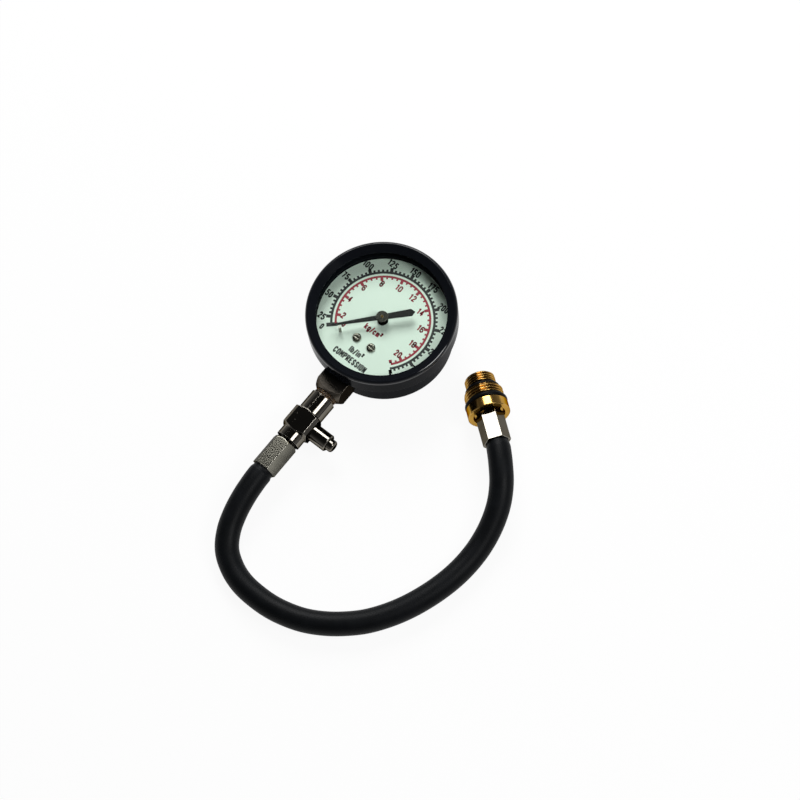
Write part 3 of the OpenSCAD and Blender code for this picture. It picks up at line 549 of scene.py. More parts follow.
@dataclass
class Adaptor:
    """Stepped brass plug adaptor with its two cut threads, in its own frame along +Z to the tip."""

    back: Point = (64.2, -3.9, 10.968515)
    pitch: float = 12.218808
    yaw: float = 142.5
    flange_r: float = 9.7
    flange_l: float = 4.9
    large_root_r: float = 7.23
    large_thread: tuple[float, float] = (7.5, 12.6)
    large_r: float = 9.0
    large_pitch: float = 1.5
    small_root_r: float = 6.08
    small_thread: tuple[float, float] = (14.5, 20.2)
    small_r: float = 7.0
    small_pitch: float = 1.25
    chamfer: float = 0.7
    recess: tuple[float, float, float] = (7.4, 6.6, 1.6)
    nipple_bore: tuple[float, float] = (4.02, 8.2)
    passage_r: float = 1.5
    core_bore: tuple[float, float] = (2.62, 9.3)
    turns: int = 128
    rings: int = 12
    thread_depth: float = 0.6
    riders: tuple[str, ...] = ("adaptor_ferrule", "adaptor_nipple", "large_o_ring", "small_o_ring",
                               "valve_core", "valve_pin", "valve_seal")

    @property
    def turn(self) -> Euler:
        """Turn of the adaptor's frame in the part's frame."""
        return Euler((0.0, math.radians(90 + self.pitch), math.radians(self.yaw)))

    def matrix(self) -> Matrix:
        """Adaptor's frame in the part's frame, in metres."""
        return Matrix.Translation(Vector(self.back) * MM) @ self.turn.to_matrix().to_4x4()

    def threaded(self, radius: float, span: tuple[float, float], pitch: float) -> Profile:
        """Outline of one threaded step, with enough points for its thread.

        Args:
            radius: Crest radius.
            span: Where the step starts and ends along the axis.
            pitch: Thread pitch.

        Returns:
            Points along the step's outside, with both ends chamfered.
        """
        start, end = span
        count = round((end - start) / pitch * self.rings)
        heights = [start + (end - start) * i / count for i in range(count + 1)]
        return [(radius - max(0.0, self.chamfer - min(h - start, end - h)), h) for h in heights]

    def outline(self) -> Profile:
        """Draw the adaptor, outside and bore.

        Returns:
            Points of the closed outline.
        """
        c = self.chamfer / 2
        tip = self.small_thread[1]
        mouth_r, floor_r, floor = self.recess
        return [
            (mouth_r, 0.0), (self.flange_r - c, 0.0), (self.flange_r, c),
            (self.flange_r, self.flange_l - c), (self.flange_r - c, self.flange_l),
            (self.large_root_r, self.flange_l), (self.large_root_r, self.large_thread[0]),
            *self.threaded(self.large_r, self.large_thread, self.large_pitch),
            (self.small_root_r, self.large_thread[1]), (self.small_root_r, self.small_thread[0]),
            *self.threaded(self.small_r, self.small_thread, self.small_pitch),
            (self.core_bore[0], tip), self.core_bore, (self.passage_r, self.core_bore[1]),
            (self.passage_r, self.nipple_bore[1]), (self.nipple_bore[0], self.nipple_bore[1]),
            (self.nipple_bore[0], floor), (floor_r, floor),
        ]

    def build(self, finish: Finish) -> bpy.types.Object:
        """Turn the outline, cut the threads and set the piece in place.

        Args:
            finish: Brass of the adaptor.

        Returns:
            The piece that stands for the plain solid.
        """
        bm = turned(self.outline(), self.turns)
        for radius, span, pitch in ((self.large_r, self.large_thread, self.large_pitch),
                                    (self.small_r, self.small_thread, self.small_pitch)):
            cut_thread(bm, radius, span, pitch, self.thread_depth)
        piece = finished("threaded_adaptor", bm, finish, self.matrix())
        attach(piece, ROOT_BODY)
        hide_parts("plug_adaptor")
        return piece


@dataclass
class StemThread:
    """Short run of thread that shows between the stem and the tee."""

    top_y: float = -41.52
    low_y: float = -43.78
    axis_z: float = 11.5
    inner_r: float = 5.01
    crest_r: float = 5.45
    pitch: float = 0.9
    thread_depth: float = 0.62
    turns: int = 96
    rings: int = 10

    def build(self, finish: Finish) -> bpy.types.Object:
        """Turn the sleeve, cut its thread and set it on the spigot.

        Args:
            finish: Metal of the thread.

        Returns:
            The piece.
        """
        length = self.top_y - self.low_y
        count = round(length / self.pitch * self.rings)
        outside = [(self.crest_r, length * i / count) for i in range(count + 1)]
        bm = turned([(self.inner_r, 0.0), *outside, (self.inner_r, length)], self.turns)
        cut_thread(bm, self.crest_r, (0.0, length), self.pitch, self.thread_depth)
        along = Matrix.Translation(Vector((0.0, self.top_y, self.axis_z)) * MM) @ Matrix.Rotation(
            math.radians(90), 4, "X")
        piece = finished("stem_thread", bm, finish, along)
        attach(piece, ROOT_BODY)
        return piece


def turned(outline: Profile, turns: int) -> bmesh.types.BMesh:
    """Turn a closed outline about +Z.

    Args:
        outline: Points as (radius, height) in millimetres.
        turns: Steps of the full turn.

    Returns:
        A closed mesh in metres.
    """
    bm = bmesh.new()
    verts = [bm.verts.new((radius * MM, 0.0, height * MM)) for radius, height in outline]
    edges = [bm.edges.new(pair) for pair in zip(verts, verts[1:] + verts[:1])]
    bmesh.ops.spin(bm, geom=verts + edges, cent=(0, 0, 0), axis=(0, 0, 1), angle=math.tau, steps=turns,
                   use_merge=True)
    bmesh.ops.remove_doubles(bm, verts=bm.verts, dist=MERGE)
    bmesh.ops.recalc_face_normals(bm, faces=bm.faces)
    return bm


def cut_thread(bm: bmesh.types.BMesh, crest: float, span: tuple[float, float], pitch: float,
               depth: float) -> None:
    """Sink a right-hand thread into a turned step about +Z, and note how deep each point lies.

    Args:
        bm: Mesh to cut, in metres.
        crest: Crest radius in millimetres.
        span: Where the step starts and ends along the axis.
        pitch: Thread pitch.
        depth: Thread depth as a share of the pitch.
    """
    slack, crest_w, flank_w = 0.001, 0.12, 0.72
    deep = bm.verts.layers.float.get(GROOVE) or bm.verts.layers.float.new(GROOVE)
    for vert in bm.verts:
        radius, height = vert.co.xy.length / MM, vert.co.z / MM
        if not (span[0] - slack <= height <= span[1] + slack and radius > crest - pitch):
            continue
        turn = math.atan2(vert.co.y, vert.co.x) / math.tau
        rise = abs(2 * ((height / pitch - turn) % 1.0) - 1)
        flank = min(1.0, max(0.0, (rise - crest_w) / flank_w))
        cut = min(radius, crest - depth * pitch * (1 - flank))
        vert.co.xy *= cut / radius
        # This depth darkens the metal's colour in the grooves: partly tarnish, partly painted shade.
        vert[deep] = 1 - flank


def finished(name: str, bm: bmesh.types.BMesh, finish: Finish, matrix: Matrix | None = None,
             crease: float = 35.0) -> bpy.types.Object:
    """Make a mesh into a piece at the origin, with its place in its mesh.

    Args:
        name: Name of the piece.
        bm: Mesh of the piece, which is used up.
        finish: Finish of the piece.
        matrix: Place of the mesh.
        crease: Edges sharper than this angle stay sharp.

    Returns:
        The piece, linked to the scene.
    """
    if matrix is not None:
        bmesh.ops.transform(bm, matrix=matrix, verts=bm.verts)
    mesh = bpy.data.meshes.new(name)
    bm.to_mesh(mesh)
    bm.free()
    mesh.polygons.foreach_set("use_smooth", [True] * len(mesh.polygons))
    mesh.set_sharp_from_angle(angle=math.radians(crease))
    mesh.materials.append(finish.material())
    piece = bpy.data.objects.new(name, mesh)
    bpy.context.scene.collection.objects.link(piece)
    log.info("%s: %d faces", name, len(mesh.polygons))
    return piece


@dataclass
class Hose:
    """Rubber hose between the two ferrules, on the route of its solid."""

    UV = "run"
    outer_r: float = 5.5
    grip_r: float = 5.0
    bore_r: float = 3.1
    gripped: int = 2
    sides: int = 40
    smooth: int = 6
    gauge_end: list[Point] = field(default_factory=lambda: [
        (0, -71.3, 11.5), (0, -86.0, 11.5), (0, -88.5, 11.5)])
    free: list[Point] = field(default_factory=lambda: [
        (0.2, -93.5, 11.4), (0.9, -101, 10.7), (2.3, -109, 9.3), (4.9, -117, 7.7), (9.7, -124.3, 6.4),
        (17.1, -129.3, 5.7), (25.3, -132, 5.6), (34.1, -132.7, 5.6), (42.8, -132.2, 5.6),
        (51.3, -130.3, 5.6), (58.8, -127.5, 5.6), (66.4, -123.1, 5.6), (73.1, -117.9, 5.6),
        (79.4, -111.7, 5.6), (84.7, -104.5, 5.6), (89.1, -96.8, 5.6), (92.6, -88.7, 5.6), (95.4, -80, 5.6),
        (97.3, -71.3, 5.6), (98.2, -62, 5.8), (98, -52.6, 6.9), (96.5, -43.2, 9), (93.6, -34.4, 11.6),
        (89.1, -26.6, 13.9), (83.2, -19.7, 15)])
    adaptor_end: tuple[float, ...] = (-17.5, -15.0, -0.3)

    def route(self, adaptor: Adaptor) -> list[Vector]:
        """Points of the route, in metres.

        Args:
            adaptor: Adaptor that the hose ends in.

        Returns:
            The points from the gauge to the adaptor.
        """
        end = [adaptor.matrix() @ Vector((0, 0, s * MM)) for s in self.adaptor_end]
        return [Vector(p) * MM for p in self.gauge_end + self.free] + end

    def stations(self, route: list[Vector]) -> list[tuple[Vector, float]]:
        """Smooth the route into stations close together.

        Args:
            route: Points of the route.

        Returns:
            Centre and outside radius of each station, in metres.
        """
        last = len(route) - 1
        radii = [(self.grip_r if i < self.gripped or i > last - self.gripped else self.outer_r) * MM
                 for i in range(last + 1)]
        made = []
        for i in range(last):
            before, start, end, after = (route[max(0, min(last, k))] for k in (i - 1, i, i + 1, i + 2))
            for k in range(self.smooth):
                t = k / self.smooth
                point = 0.5 * (2 * start + (end - before) * t
                               + (2 * before - 5 * start + 4 * end - after) * t ** 2
                               + (3 * start - before - 3 * end + after) * t ** 3)
                made.append((point, radii[i] + (radii[i + 1] - radii[i]) * t))
        return made + [(route[last], radii[last])]

    def build(self, adaptor: Adaptor, fittings: list[bpy.types.Object], finish: Finish) -> bpy.types.Object:
        """Args:
            adaptor: Adaptor that the hose ends in.
            fittings: Pieces of the adaptor that are made here; not used.
            finish: Rubber of the hose.

        Returns:
            The piece that stands for the hose's solid.
        """
        stations = self.stations(self.route(adaptor))
        path = [point for point, radius in stations]
        length = sum((b - a).length for a, b in zip(path, path[1:]))
        bm = bmesh.new()
        rims = [self.sweep(bm, path, radii) for radii in (
            [radius for point, radius in stations], [self.bore_r * MM] * len(path))]
        for outer, inner in zip(*rims):
            bmesh.ops.bridge_loops(bm, edges=outer + inner)
        bmesh.ops.recalc_face_normals(bm, faces=bm.faces)
        self.unwrap(bm, path, length)
        piece = finished("rubber_hose", bm, finish)
        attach(piece, ROOT_BODY)
        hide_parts("hose")
        return piece

    def sweep(self, bm: bmesh.types.BMesh, path: list[Vector], radii: list[float]) -> list[list]:
        """Extrude one ring along the path.

        Args:
            bm: Mesh that takes the tube.
            path: Centres of the rings.
            radii: Radius at each centre.

        Returns:
            The edges of the first and of the last ring.
        """
        last = len(path) - 1
        ways = [(path[min(i + 1, last)] - path[max(i - 1, 0)]).normalized() for i in range(last + 1)]
        turn = ways[0].to_track_quat("Z", "Y")
        ring = bmesh.ops.create_circle(bm, segments=self.sides, radius=1.0)["verts"]
        edges = list({edge for vert in ring for edge in vert.link_edges})
        here = Matrix.LocRotScale(path[0], turn, Vector.Fill(3, radii[0]))
        bmesh.ops.transform(bm, matrix=here, verts=ring)
        first = edges
        for i in range(1, len(path)):
            turn = ways[i - 1].rotation_difference(ways[i]) @ turn
            there = Matrix.LocRotScale(path[i], turn, Vector.Fill(3, radii[i]))
            grown = bmesh.ops.extrude_edge_only(bm, edges=edges)["geom"]
            verts = [item for item in grown if isinstance(item, bmesh.types.BMVert)]
            new = set(verts)
            edges = [item for item in grown if isinstance(item, bmesh.types.BMEdge)
                     and all(vert in new for vert in item.verts)]
            bmesh.ops.transform(bm, matrix=there @ here.inverted(), verts=verts)
            here = there
        return [first, edges]

    def unwrap(self, bm: bmesh.types.BMesh, path: list[Vector], length: float) -> None:
        """Lay a UV map along the hose, by the nearest station and the angle about it.

        Args:
            bm: Mesh of the hose, ring after ring.
            path: Centres of the rings.
            length: Length of the hose.
        """
        layer = bm.loops.layers.uv.new(self.UV)
        bm.verts.index_update()
        runs = [0.0]
        for a, b in zip(path, path[1:]):
            runs.append(runs[-1] + (b - a).length / length)
        per_tube = self.sides * len(path)
        for face in bm.faces:
            spots = [loop.vert.index % per_tube for loop in face.loops]
            rounds = [(spot % self.sides) / self.sides for spot in spots]
            wraps = max(rounds) - min(rounds) > 0.5
            for loop, spot, turn in zip(face.loops, spots, rounds):
                loop[layer].uv = (runs[spot // self.sides], turn + (1.0 if wraps and turn < 0.5 else 0.0))


@dataclass(frozen=True)
class Flexing:
    """Spring or tube, drawn as a copy of its solid."""

    name: str
    node: str
    slot: str

    def copy(self, finish: Finish) -> bpy.types.Object:
        """Copy the solid into a piece that stands for it.

        Args:
            finish: Metal of the piece.

        Returns:
            The piece, not yet tied to a body.
        """
        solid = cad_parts[self.node]
        bm = bmesh.new()
        bm.from_mesh(solid.data)
        piece = finished(self.name, bm, finish, solid.matrix_world)
        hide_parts(self.node)
        return piece


@dataclass(frozen=True)
class Coil(Flexing):
    """Coil spring that its pin presses against a seat."""

    joint: str
    seat: Point
    axis: Point
    length: float
    stroke: float

    def build(self, finish: Finish) -> bpy.types.Object:
        """Copy the spring and tie it to the tester's body.

        Args:
            finish: Metal of the spring.

        Returns:
            The piece.
        """
        piece = self.copy(finish)
        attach(piece, ROOT_BODY)
        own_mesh(piece)
        return piece


@dataclass(frozen=True)
class PressureTube(Flexing):
    """Bent tube with one fixed end and its free end at the tip."""

    free_body: str
    start: Point
    end: Point

    def build(self, finish: Finish) -> bpy.types.Object:
        """Copy the tube and bake its place into its mesh.

        Args:
            finish: Metal of the tube.

        Returns:
            The piece.
        """
        piece = self.copy(finish)
        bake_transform(piece)
        return piece


class Ink(Enum):
    """Inks of the dial."""

    BLACK = PrintInk("black_ink", "#0c0e10", 0.5, thin="#1a1c1e")
    RED = PrintInk("red_ink", "#96082a", 0.5, thin="#a51f3a")


class Lettering:
    """Narrow upright letters as strokes, on a grid one wide and two tall."""

    ROUND = ((0, 0.35), (0, 1.65), (0.35, 2), (0.65, 2), (1, 1.65), (1, 0.35), (0.65, 0), (0.35, 0),
             (0, 0.35))
    BOWL = ((0, 1.05), (0.3, 1.35), (0.6, 1.35), (0.9, 1.05))
    CUP = ((0, 0.3), (0.3, 0), (0.6, 0), (0.9, 0.3))
    LOOP = ((0, 2), (0.7, 2), (1, 1.7), (1, 1.3), (0.7, 1), (0, 1))
    STROKES: dict[str, tuple[tuple[tuple[float, float], ...], ...]] = {
        "0": (ROUND,),
        "1": (((0.2, 1.6), (0.6, 2), (0.6, 0)),),
        "2": (((0, 1.6), (0.3, 2), (0.7, 2), (1, 1.65), (1, 1.3), (0, 0), (1, 0)),),
        "3": (((0, 2), (1, 2), (0.45, 1.2), (0.75, 1.2), (1, 0.9), (1, 0.35), (0.7, 0), (0.3, 0),
               (0, 0.35)),),
        "4": (((0.7, 0), (0.7, 2), (0, 0.6), (1.05, 0.6)),),
        "5": (((0.95, 2), (0.1, 2), (0.05, 1.15), (0.65, 1.2), (1, 0.9), (1, 0.35), (0.65, 0), (0.3, 0),
               (0, 0.35)),),
        "6": (((1, 1.65), (0.65, 2), (0.35, 2), (0, 1.65), (0, 0.35), (0.35, 0), (0.65, 0), (1, 0.35),
               (1, 0.85), (0.65, 1.15), (0, 1.1)),),
        "7": (((0, 2), (1, 2), (0.4, 0)),),
        "8": (((0.3, 1.05), (0, 1.3), (0, 1.7), (0.3, 2), (0.7, 2), (1, 1.7), (1, 1.3), (0.7, 1.05),
               (0.3, 1.05), (0, 0.8), (0, 0.3), (0.3, 0), (0.7, 0), (1, 0.3), (1, 0.8), (0.7, 1.05)),),
        "C": (((1, 1.55), (0.65, 2), (0.35, 2), (0, 1.65), (0, 0.35), (0.35, 0), (0.65, 0), (1, 0.45)),),
        "O": (ROUND,),
        "M": (((0, 0), (0, 2), (0.6, 0.7), (1.2, 2), (1.2, 0)),),
        "P": (((0, 0),) + LOOP,),
        "R": (((0, 0),) + LOOP, ((0.5, 1), (1, 0))),
        "E": (((0.95, 2), (0, 2), (0, 0), (0.95, 0)), ((0, 1), (0.8, 1))),
        "S": (((1, 1.6), (0.65, 2), (0.35, 2), (0, 1.65), (0, 1.35), (1, 0.65), (1, 0.35), (0.65, 0),
               (0.35, 0), (0, 0.4)),),
        "I": (((0, 0), (0, 2)),),
        "N": (((0, 0), (0, 2), (1, 0), (1, 2)),),
        "k": (((0, 0), (0, 2)), ((0.9, 1.35), (0, 0.55)), ((0.3, 0.8), (0.95, 0))),
        "g": (BOWL, CUP, ((0, 1.05), (0, 0.3)), ((0.9, 1.35), (0.9, -0.3), (0.6, -0.6), (0.1, -0.5))),
        "c": (BOWL, CUP, ((0, 1.05), (0, 0.3))),
        "b": (BOWL, CUP, ((0.9, 1.05), (0.9, 0.3)), ((0, 0), (0, 2))),
        "m": (((0, 0), (0, 1.35), (0.45, 1.35), (0.55, 1.2), (0.55, 0)),
              ((0.55, 1.35), (1, 1.35), (1.1, 1.2), (1.1, 0))),
        "n": (((0, 0), (0, 1.35), (0.65, 1.35), (0.85, 1.15), (0.85, 0)),),
        "l": (((0, 0), (0, 2)),),
        "i": (((0, 0), (0, 1.35)), ((0, 1.75), (0, 2))),
        "/": (((0, -0.2), (0.7, 2.1)),),
        "²": (((0, 1.9), (0.2, 2.1), (0.45, 2.1), (0.6, 1.85), (0, 1.1), (0.6, 1.1)),),
    }
    GAP = 0.9
    TALL = 2.0

    @classmethod
    def lines(cls, text: str) -> tuple[list[tuple[Vector, Vector]], float]:
        """Lay a text out from its lower left corner.

        Args:
            text: The text.

        Returns:
            The two ends of every stroke, and the width of the text.
        """
        found, start = [], 0.0
        for letter in text:
            strokes = cls.STROKES[letter]
            for stroke in strokes:
                points = [Vector((start + x, y, 0)) for x, y in stroke]
                found.extend(zip(points, points[1:]))
            start += max(x for stroke in strokes for x, y in stroke) + cls.GAP
        return found, start - cls.GAP


@dataclass
class Scale:
    """One printed scale: a ring with ticks and numbers.

    Radii and widths are in millimetres, clock angles in degrees from twelve o'clock. A label leans
    outward at the sides of the dial by label_lean, which goes by how many figures it has.
    """

    ink: Ink
    ring: tuple[float, float]
    minor_r: float
    major_r: float
    label_r: float
    label_lean: tuple[float, ...]
    label_h: float
    first: float
    first_clock: float
    per_unit: float
    last: float
    minor: float
    major: float
    minor_w: float
    major_w: float


@dataclass
class DialPrint:
    """Scales and words printed on the dial, as thin ink on its face."""

    face_z: float = 20.004
    ink_t: float = 0.02
    zero_clock: float = 228.0
    zero_bar: tuple[float, float, float] = (20.6, 25.7, 1.9)
    arc_step: float = 2.0
    stroke_w: float = 0.66
    stroke_over: float = 0.5
    narrowest: float = 0.1
    digit_w: float = 1.76
    scales: tuple[Scale, ...] = (
        Scale(Ink.BLACK, ring=(22.9, 24.0), minor_r=24.9, major_r=25.9, label_r=27.2,
              label_lean=(0.45, 0.9, 1.35), label_h=3.3, first=25, first_clock=237.5, per_unit=0.93, last=300,
              minor=5, major=25, minor_w=1.0, major_w=1.5),
        Scale(Ink.RED, ring=(20.95, 21.95), minor_r=20.2, major_r=19.3, label_r=17.1,
              label_lean=(1.3, 0.6), label_h=3.2, first=2, first_clock=240.5, per_unit=13.2, last=21,
              minor=0.5, major=2, minor_w=0.85, major_w=1.35))
    words: tuple[tuple[Ink, str, float, float, float, float], ...] = (
        (Ink.RED, "kg/cm²", -0.2, -6.5, 3.1, 9.6), (Ink.BLACK, "lb/in²", 0.3, -19.3, 3.1, 7.6),
        (Ink.BLACK, "COMPRESSION", 0.0, -23.7, 3.2, 18.2),
        (Ink.BLACK, "0", -20.3, -19.0, 3.05, 1.5), (Ink.RED, "0", -12.9, -12.1, 3.0, 1.5))

    def build(self) -> list[bpy.types.Object]:
        """Print each ink.

        Returns:
            One piece for each ink.
        """
        pieces = []
        for ink in Ink:
            bm = bmesh.new()
            for scale in self.scales:
                if scale.ink is ink:
                    self.rule(bm, scale)
            if ink is Ink.BLACK:
                inner, outer, width = self.zero_bar
                self.bar(bm, self.zero_clock, inner, outer, width)
            for word_ink, *word in self.words:
                if word_ink is ink:
                    self.write(bm, *word)
            bmesh.ops.recalc_face_normals(bm, faces=bm.faces)
            bmesh.ops.solidify(bm, geom=bm.faces[:], thickness=self.ink_t * MM)
            bmesh.ops.recalc_face_normals(bm, faces=bm.faces)
            lift = Matrix.Translation((0, 0, self.face_z * MM))
            low = min(vert.co.z for vert in bm.verts)
            piece = finished(f"dial_print_{ink.name.lower()}", bm, ink.value,
                             lift @ Matrix.Translation((0, 0, -low)))
            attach(piece, ROOT_BODY)
            pieces.append(piece)
        return pieces

    def rule(self, bm: bmesh.types.BMesh, scale: Scale) -> None:
        """Draw one scale's ring, ticks and numbers.

        Args:
            bm: Mesh of the ink.
            scale: The scale.
        """
        end_clock = scale.first_clock + (scale.last - scale.first) * scale.per_unit
        self.arc(bm, scale.ring, self.zero_clock, end_clock)
        outward = scale.minor_r > scale.ring[1]
        base = scale.ring[1] if outward else scale.ring[0]
        count = round((scale.last - scale.first) / scale.minor)
        for i in range(count + 1):
            value = scale.first + i * scale.minor
            clock = scale.first_clock + (value - scale.first) * scale.per_unit
            named = math.isclose(value / scale.major, round(value / scale.major), abs_tol=1e-6)
            reach, width = (scale.major_r, scale.major_w) if named else (scale.minor_r, scale.minor_w)
            self.bar(bm, clock, base, reach, width)
            if named:
                turn, text = math.radians(clock), f"{value:g}"
                radius = scale.label_r + scale.label_lean[len(text) - 1] * abs(math.sin(turn))
                self.write(bm, text, radius * math.sin(turn), radius * math.cos(turn), scale.label_h,
                           self.digit_w * len(text))
        self.bar(bm, end_clock, base, scale.major_r, scale.major_w)

    def arc(self, bm: bmesh.types.BMesh, ring: tuple[float, float], start: float, end: float) -> None:
        """Draw a ring from one clock angle to another.

        Args:
            bm: Mesh of the ink.
            ring: Inner and outer radius.
            start: First clock angle in degrees.
            end: Last clock angle.
        """
        way = Vector((math.sin(math.radians(start)), math.cos(math.radians(start)), 0))
        verts = [bm.verts.new(way * radius * MM) for radius in ring]
        edge = bm.edges.new(verts)
        bmesh.ops.spin(bm, geom=verts + [edge], cent=(0, 0, 0), axis=(0, 0, -1),
                       angle=math.radians(end - start), steps=round((end - start) / self.arc_step))

    def bar(self, bm: bmesh.types.BMesh, clock: float, start: float, end: float, width: float) -> None:
        """Draw a radial bar.

        Args:
            bm: Mesh of the ink.
            clock: Clock angle in degrees.
            start: Radius of one end.
            end: Radius of the other end.
            width: Width of the bar.
        """
        size = Matrix.Diagonal((width * MM, abs(end - start) * MM, 1, 1))
        turn = Matrix.Rotation(-math.radians(clock), 4, "Z")
        place = turn @ Matrix.Translation((0, (start + end) / 2 * MM, 0))
        bmesh.ops.create_grid(bm, x_segments=1, y_segments=1, size=0.5, matrix=place @ size)

    def write(self, bm: bmesh.types.BMesh, text: str, x: float, y: float, height: float,
              width: float) -> None:
        """Write upright text, centred on a point.

        Args:
            bm: Mesh of the ink.
            text: The text.
            x: Middle of the text.
            y: Middle of its height.
            height: Height of a figure over its strokes.
            width: Width of the whole text over its strokes.
        """
        lines, wide = Lettering.lines(text)
        tall = Lettering.TALL
        size = Vector(((width - self.stroke_w) / max(wide, self.narrowest),
                       (height - self.stroke_w) / tall, 0))
        corner = Vector((x, y, 0)) - Vector((wide, tall, 0)) * size / 2
        for start, end in lines:
            self.line(bm, corner + start * size, corner + end * size)

    def line(self, bm: bmesh.types.BMesh, start: Vector, end: Vector) -> None:
        """Draw one stroke, a little longer than from point to point.

        Args:
            bm: Mesh of the ink.
            start: One end, in millimetres.
            end: The other end.
        """
        along = end - start
        length = along.length + self.stroke_over * self.stroke_w
        size = Matrix.Diagonal((length * MM, self.stroke_w * MM, 1, 1))
        turn = Matrix.Rotation(math.atan2(along.y, along.x), 4, "Z")
        place = Matrix.Translation((start + end) / 2 * MM)
        bmesh.ops.create_grid(bm, x_segments=1, y_segments=1, size=0.5, matrix=place @ turn @ size)


class Plate(Enum):
    """Finishes of the tester."""

    ENAMEL = Enamel("black_enamel", "#111317", 0.13, worn_and_highlit_edge="#3c424c", gloss=0.006, rim=(0.0331, 0.029))
    CASE = Enamel("case_enamel", "#0f1217", 0.2, worn_and_highlit_edge="#2a2e36", gloss=0.004)
    WINDOW = Glass("clear_window", "#fafdfb", 0.02)
    SEAL = Rubber("seal_rubber", "#0b0b0c", 0.36, bloom="#191a1b")
    HOSE = HoseRubber("hose_cover", "#0a0c0e", 0.45, bloom="#13161a")
    DIAL = DialPaint("dial_paint", "#e8f4ea", 0.5, shade_colour="#e0ede2")
    STEEL = Metal("screw_steel", "#c4c1b9", 0.36, tarnish="#6b675f", tarnish_share=0.3)
    SCREW = Metal("dial_screw_steel", "#a39d92", 0.16, tarnish="#4a443c", tarnish_share=0.6, pits=0.3,
                  edge=0.0003, rim="#6b675f", haze=0.04, painted_edge_highlight="#e4e0d6")
    POINTER = Enamel("pointer_paint", "#0a0b0c", 0.34)
    HUB = Metal("hub_gunmetal", "#33322f", 0.3, tarnish="#1b1a18", tarnish_share=0.4)
    ARBOR = Metal("arbor_brass", "#57462a", 0.3, tarnish="#1d1710", tarnish_share=0.7)
    BRASS = Metal("movement_brass", "#d3a954", 0.24, tarnish="#8c6a30", tarnish_share=0.4)
    BRONZE = Metal("tube_bronze", "#c08a52", 0.28, tarnish="#7a5430", tarnish_share=0.4)
    # The stem's nickel is a darker, browner copy of the tee's nickel: painted shade on the stem.
    STEM = Metal("stem_nickel", "#5d5851", 0.32, tarnish="#3a342e", tarnish_share=0.25, edge=0.0003,
                 rim="#504c47", haze=0.0, painted_edge_highlight="#a59d92", grain=0.0)
    NICKEL = Metal("bright_nickel", "#77736b", 0.06, tarnish="#55514a", tarnish_share=0.3, pits=0.5,
                   edge=0.0003, rim="#4c4a46", haze=0.02)
    SATIN = Metal("satin_nickel", "#9a988c", 0.16, tarnish="#6d6b60", tarnish_share=0.4, edge=0.0003,
                  rim="#5a5852", haze=0.0, grain=0.0)
    THREAD = Metal("thread_brass", "#7c6142", 0.34, tarnish="#3b2c1f", tarnish_share=0.6)


DRESS: dict[Plate, tuple[str, ...]] = {
    Plate.ENAMEL: ("bezel",),
    Plate.CASE: ("case_cup",),
    Plate.WINDOW: ("window",),
    Plate.SEAL: ("window_gasket", "large_o_ring", "small_o_ring", "relief_seal", "valve_seal"),
    Plate.DIAL: ("dial_plate",),
    Plate.SCREW: ("dial_screws",),
    Plate.STEEL: ("stop_pin", "sector_arbor", "movement_screws", "case_screws",
                  "valve_pin"),
    Plate.POINTER: ("pointer",),
    Plate.HUB: ("pointer_hub",),
    Plate.ARBOR: ("pinion_arbor",),
    Plate.BRASS: ("sector_gear", "link", "tube_tip", "movement_back_plate",
                  "movement_front_plate", "movement_pillars", "inlet_restrictor", "valve_core"),
    Plate.BRONZE: ("hairspring",),
    Plate.STEM: ("stem_socket",),
    Plate.NICKEL: ("tee_body", "relief_sleeve", "relief_plunger", "gauge_nipple", "adaptor_nipple",
                   "adaptor_ferrule"),
    Plate.SATIN: ("gauge_ferrule",),
}


RELIEF_COIL = Coil("relief_coil", "relief_spring", "screw_steel", joint="relief_press",
                   seat=(7.98, -58.8, 11.5), axis=(1.0, 0.0, 0.0), length=5.54, stroke=1.8)
VALVE_COIL = Coil("valve_coil", "valve_spring", "screw_steel", joint="valve_press",
                  seat=(53.7324, 4.1321, 8.1113), axis=(-0.775381, 0.594971, -0.211646), length=4.1,
                  stroke=1.5)
TUBE = PressureTube("pressure_tube", "bourdon_tube", "bronze", free_body="tip", start=(2.9, -0.9, 11.5),
                    end=(19.6, -6.2, 11.5))


def dress_solids() -> None:
    """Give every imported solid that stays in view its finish."""
    for plate, names in DRESS.items():
        for name in names:
            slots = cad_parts[name].data.materials
            slots.clear()
            slots.append(plate.value.material())
            log.info("%s: %s", name, plate.value.name)


@dataclass(frozen=True)
class Softbox:
    """One large lamp that faces the tester."""

    name: str
    way: Point
    distance: float
    size: tuple[float, float]
    power: float

    def build(self, aim: Vector) -> None:
        """Hang the lamp.

        Args:
            aim: Point that it faces, in metres.
        """
        lamp = bpy.data.lights.new(self.name, "AREA")
        lamp.shape, lamp.energy = "RECTANGLE", self.power
        lamp.size, lamp.size_y = self.size
        hung = bpy.data.objects.new(self.name, lamp)
        way = Vector(self.way).normalized()
        hung.location = aim + way * self.distance
        hung.rotation_euler = way.to_track_quat("Z", "Y").to_euler()
        bpy.context.scene.collection.objects.link(hung)


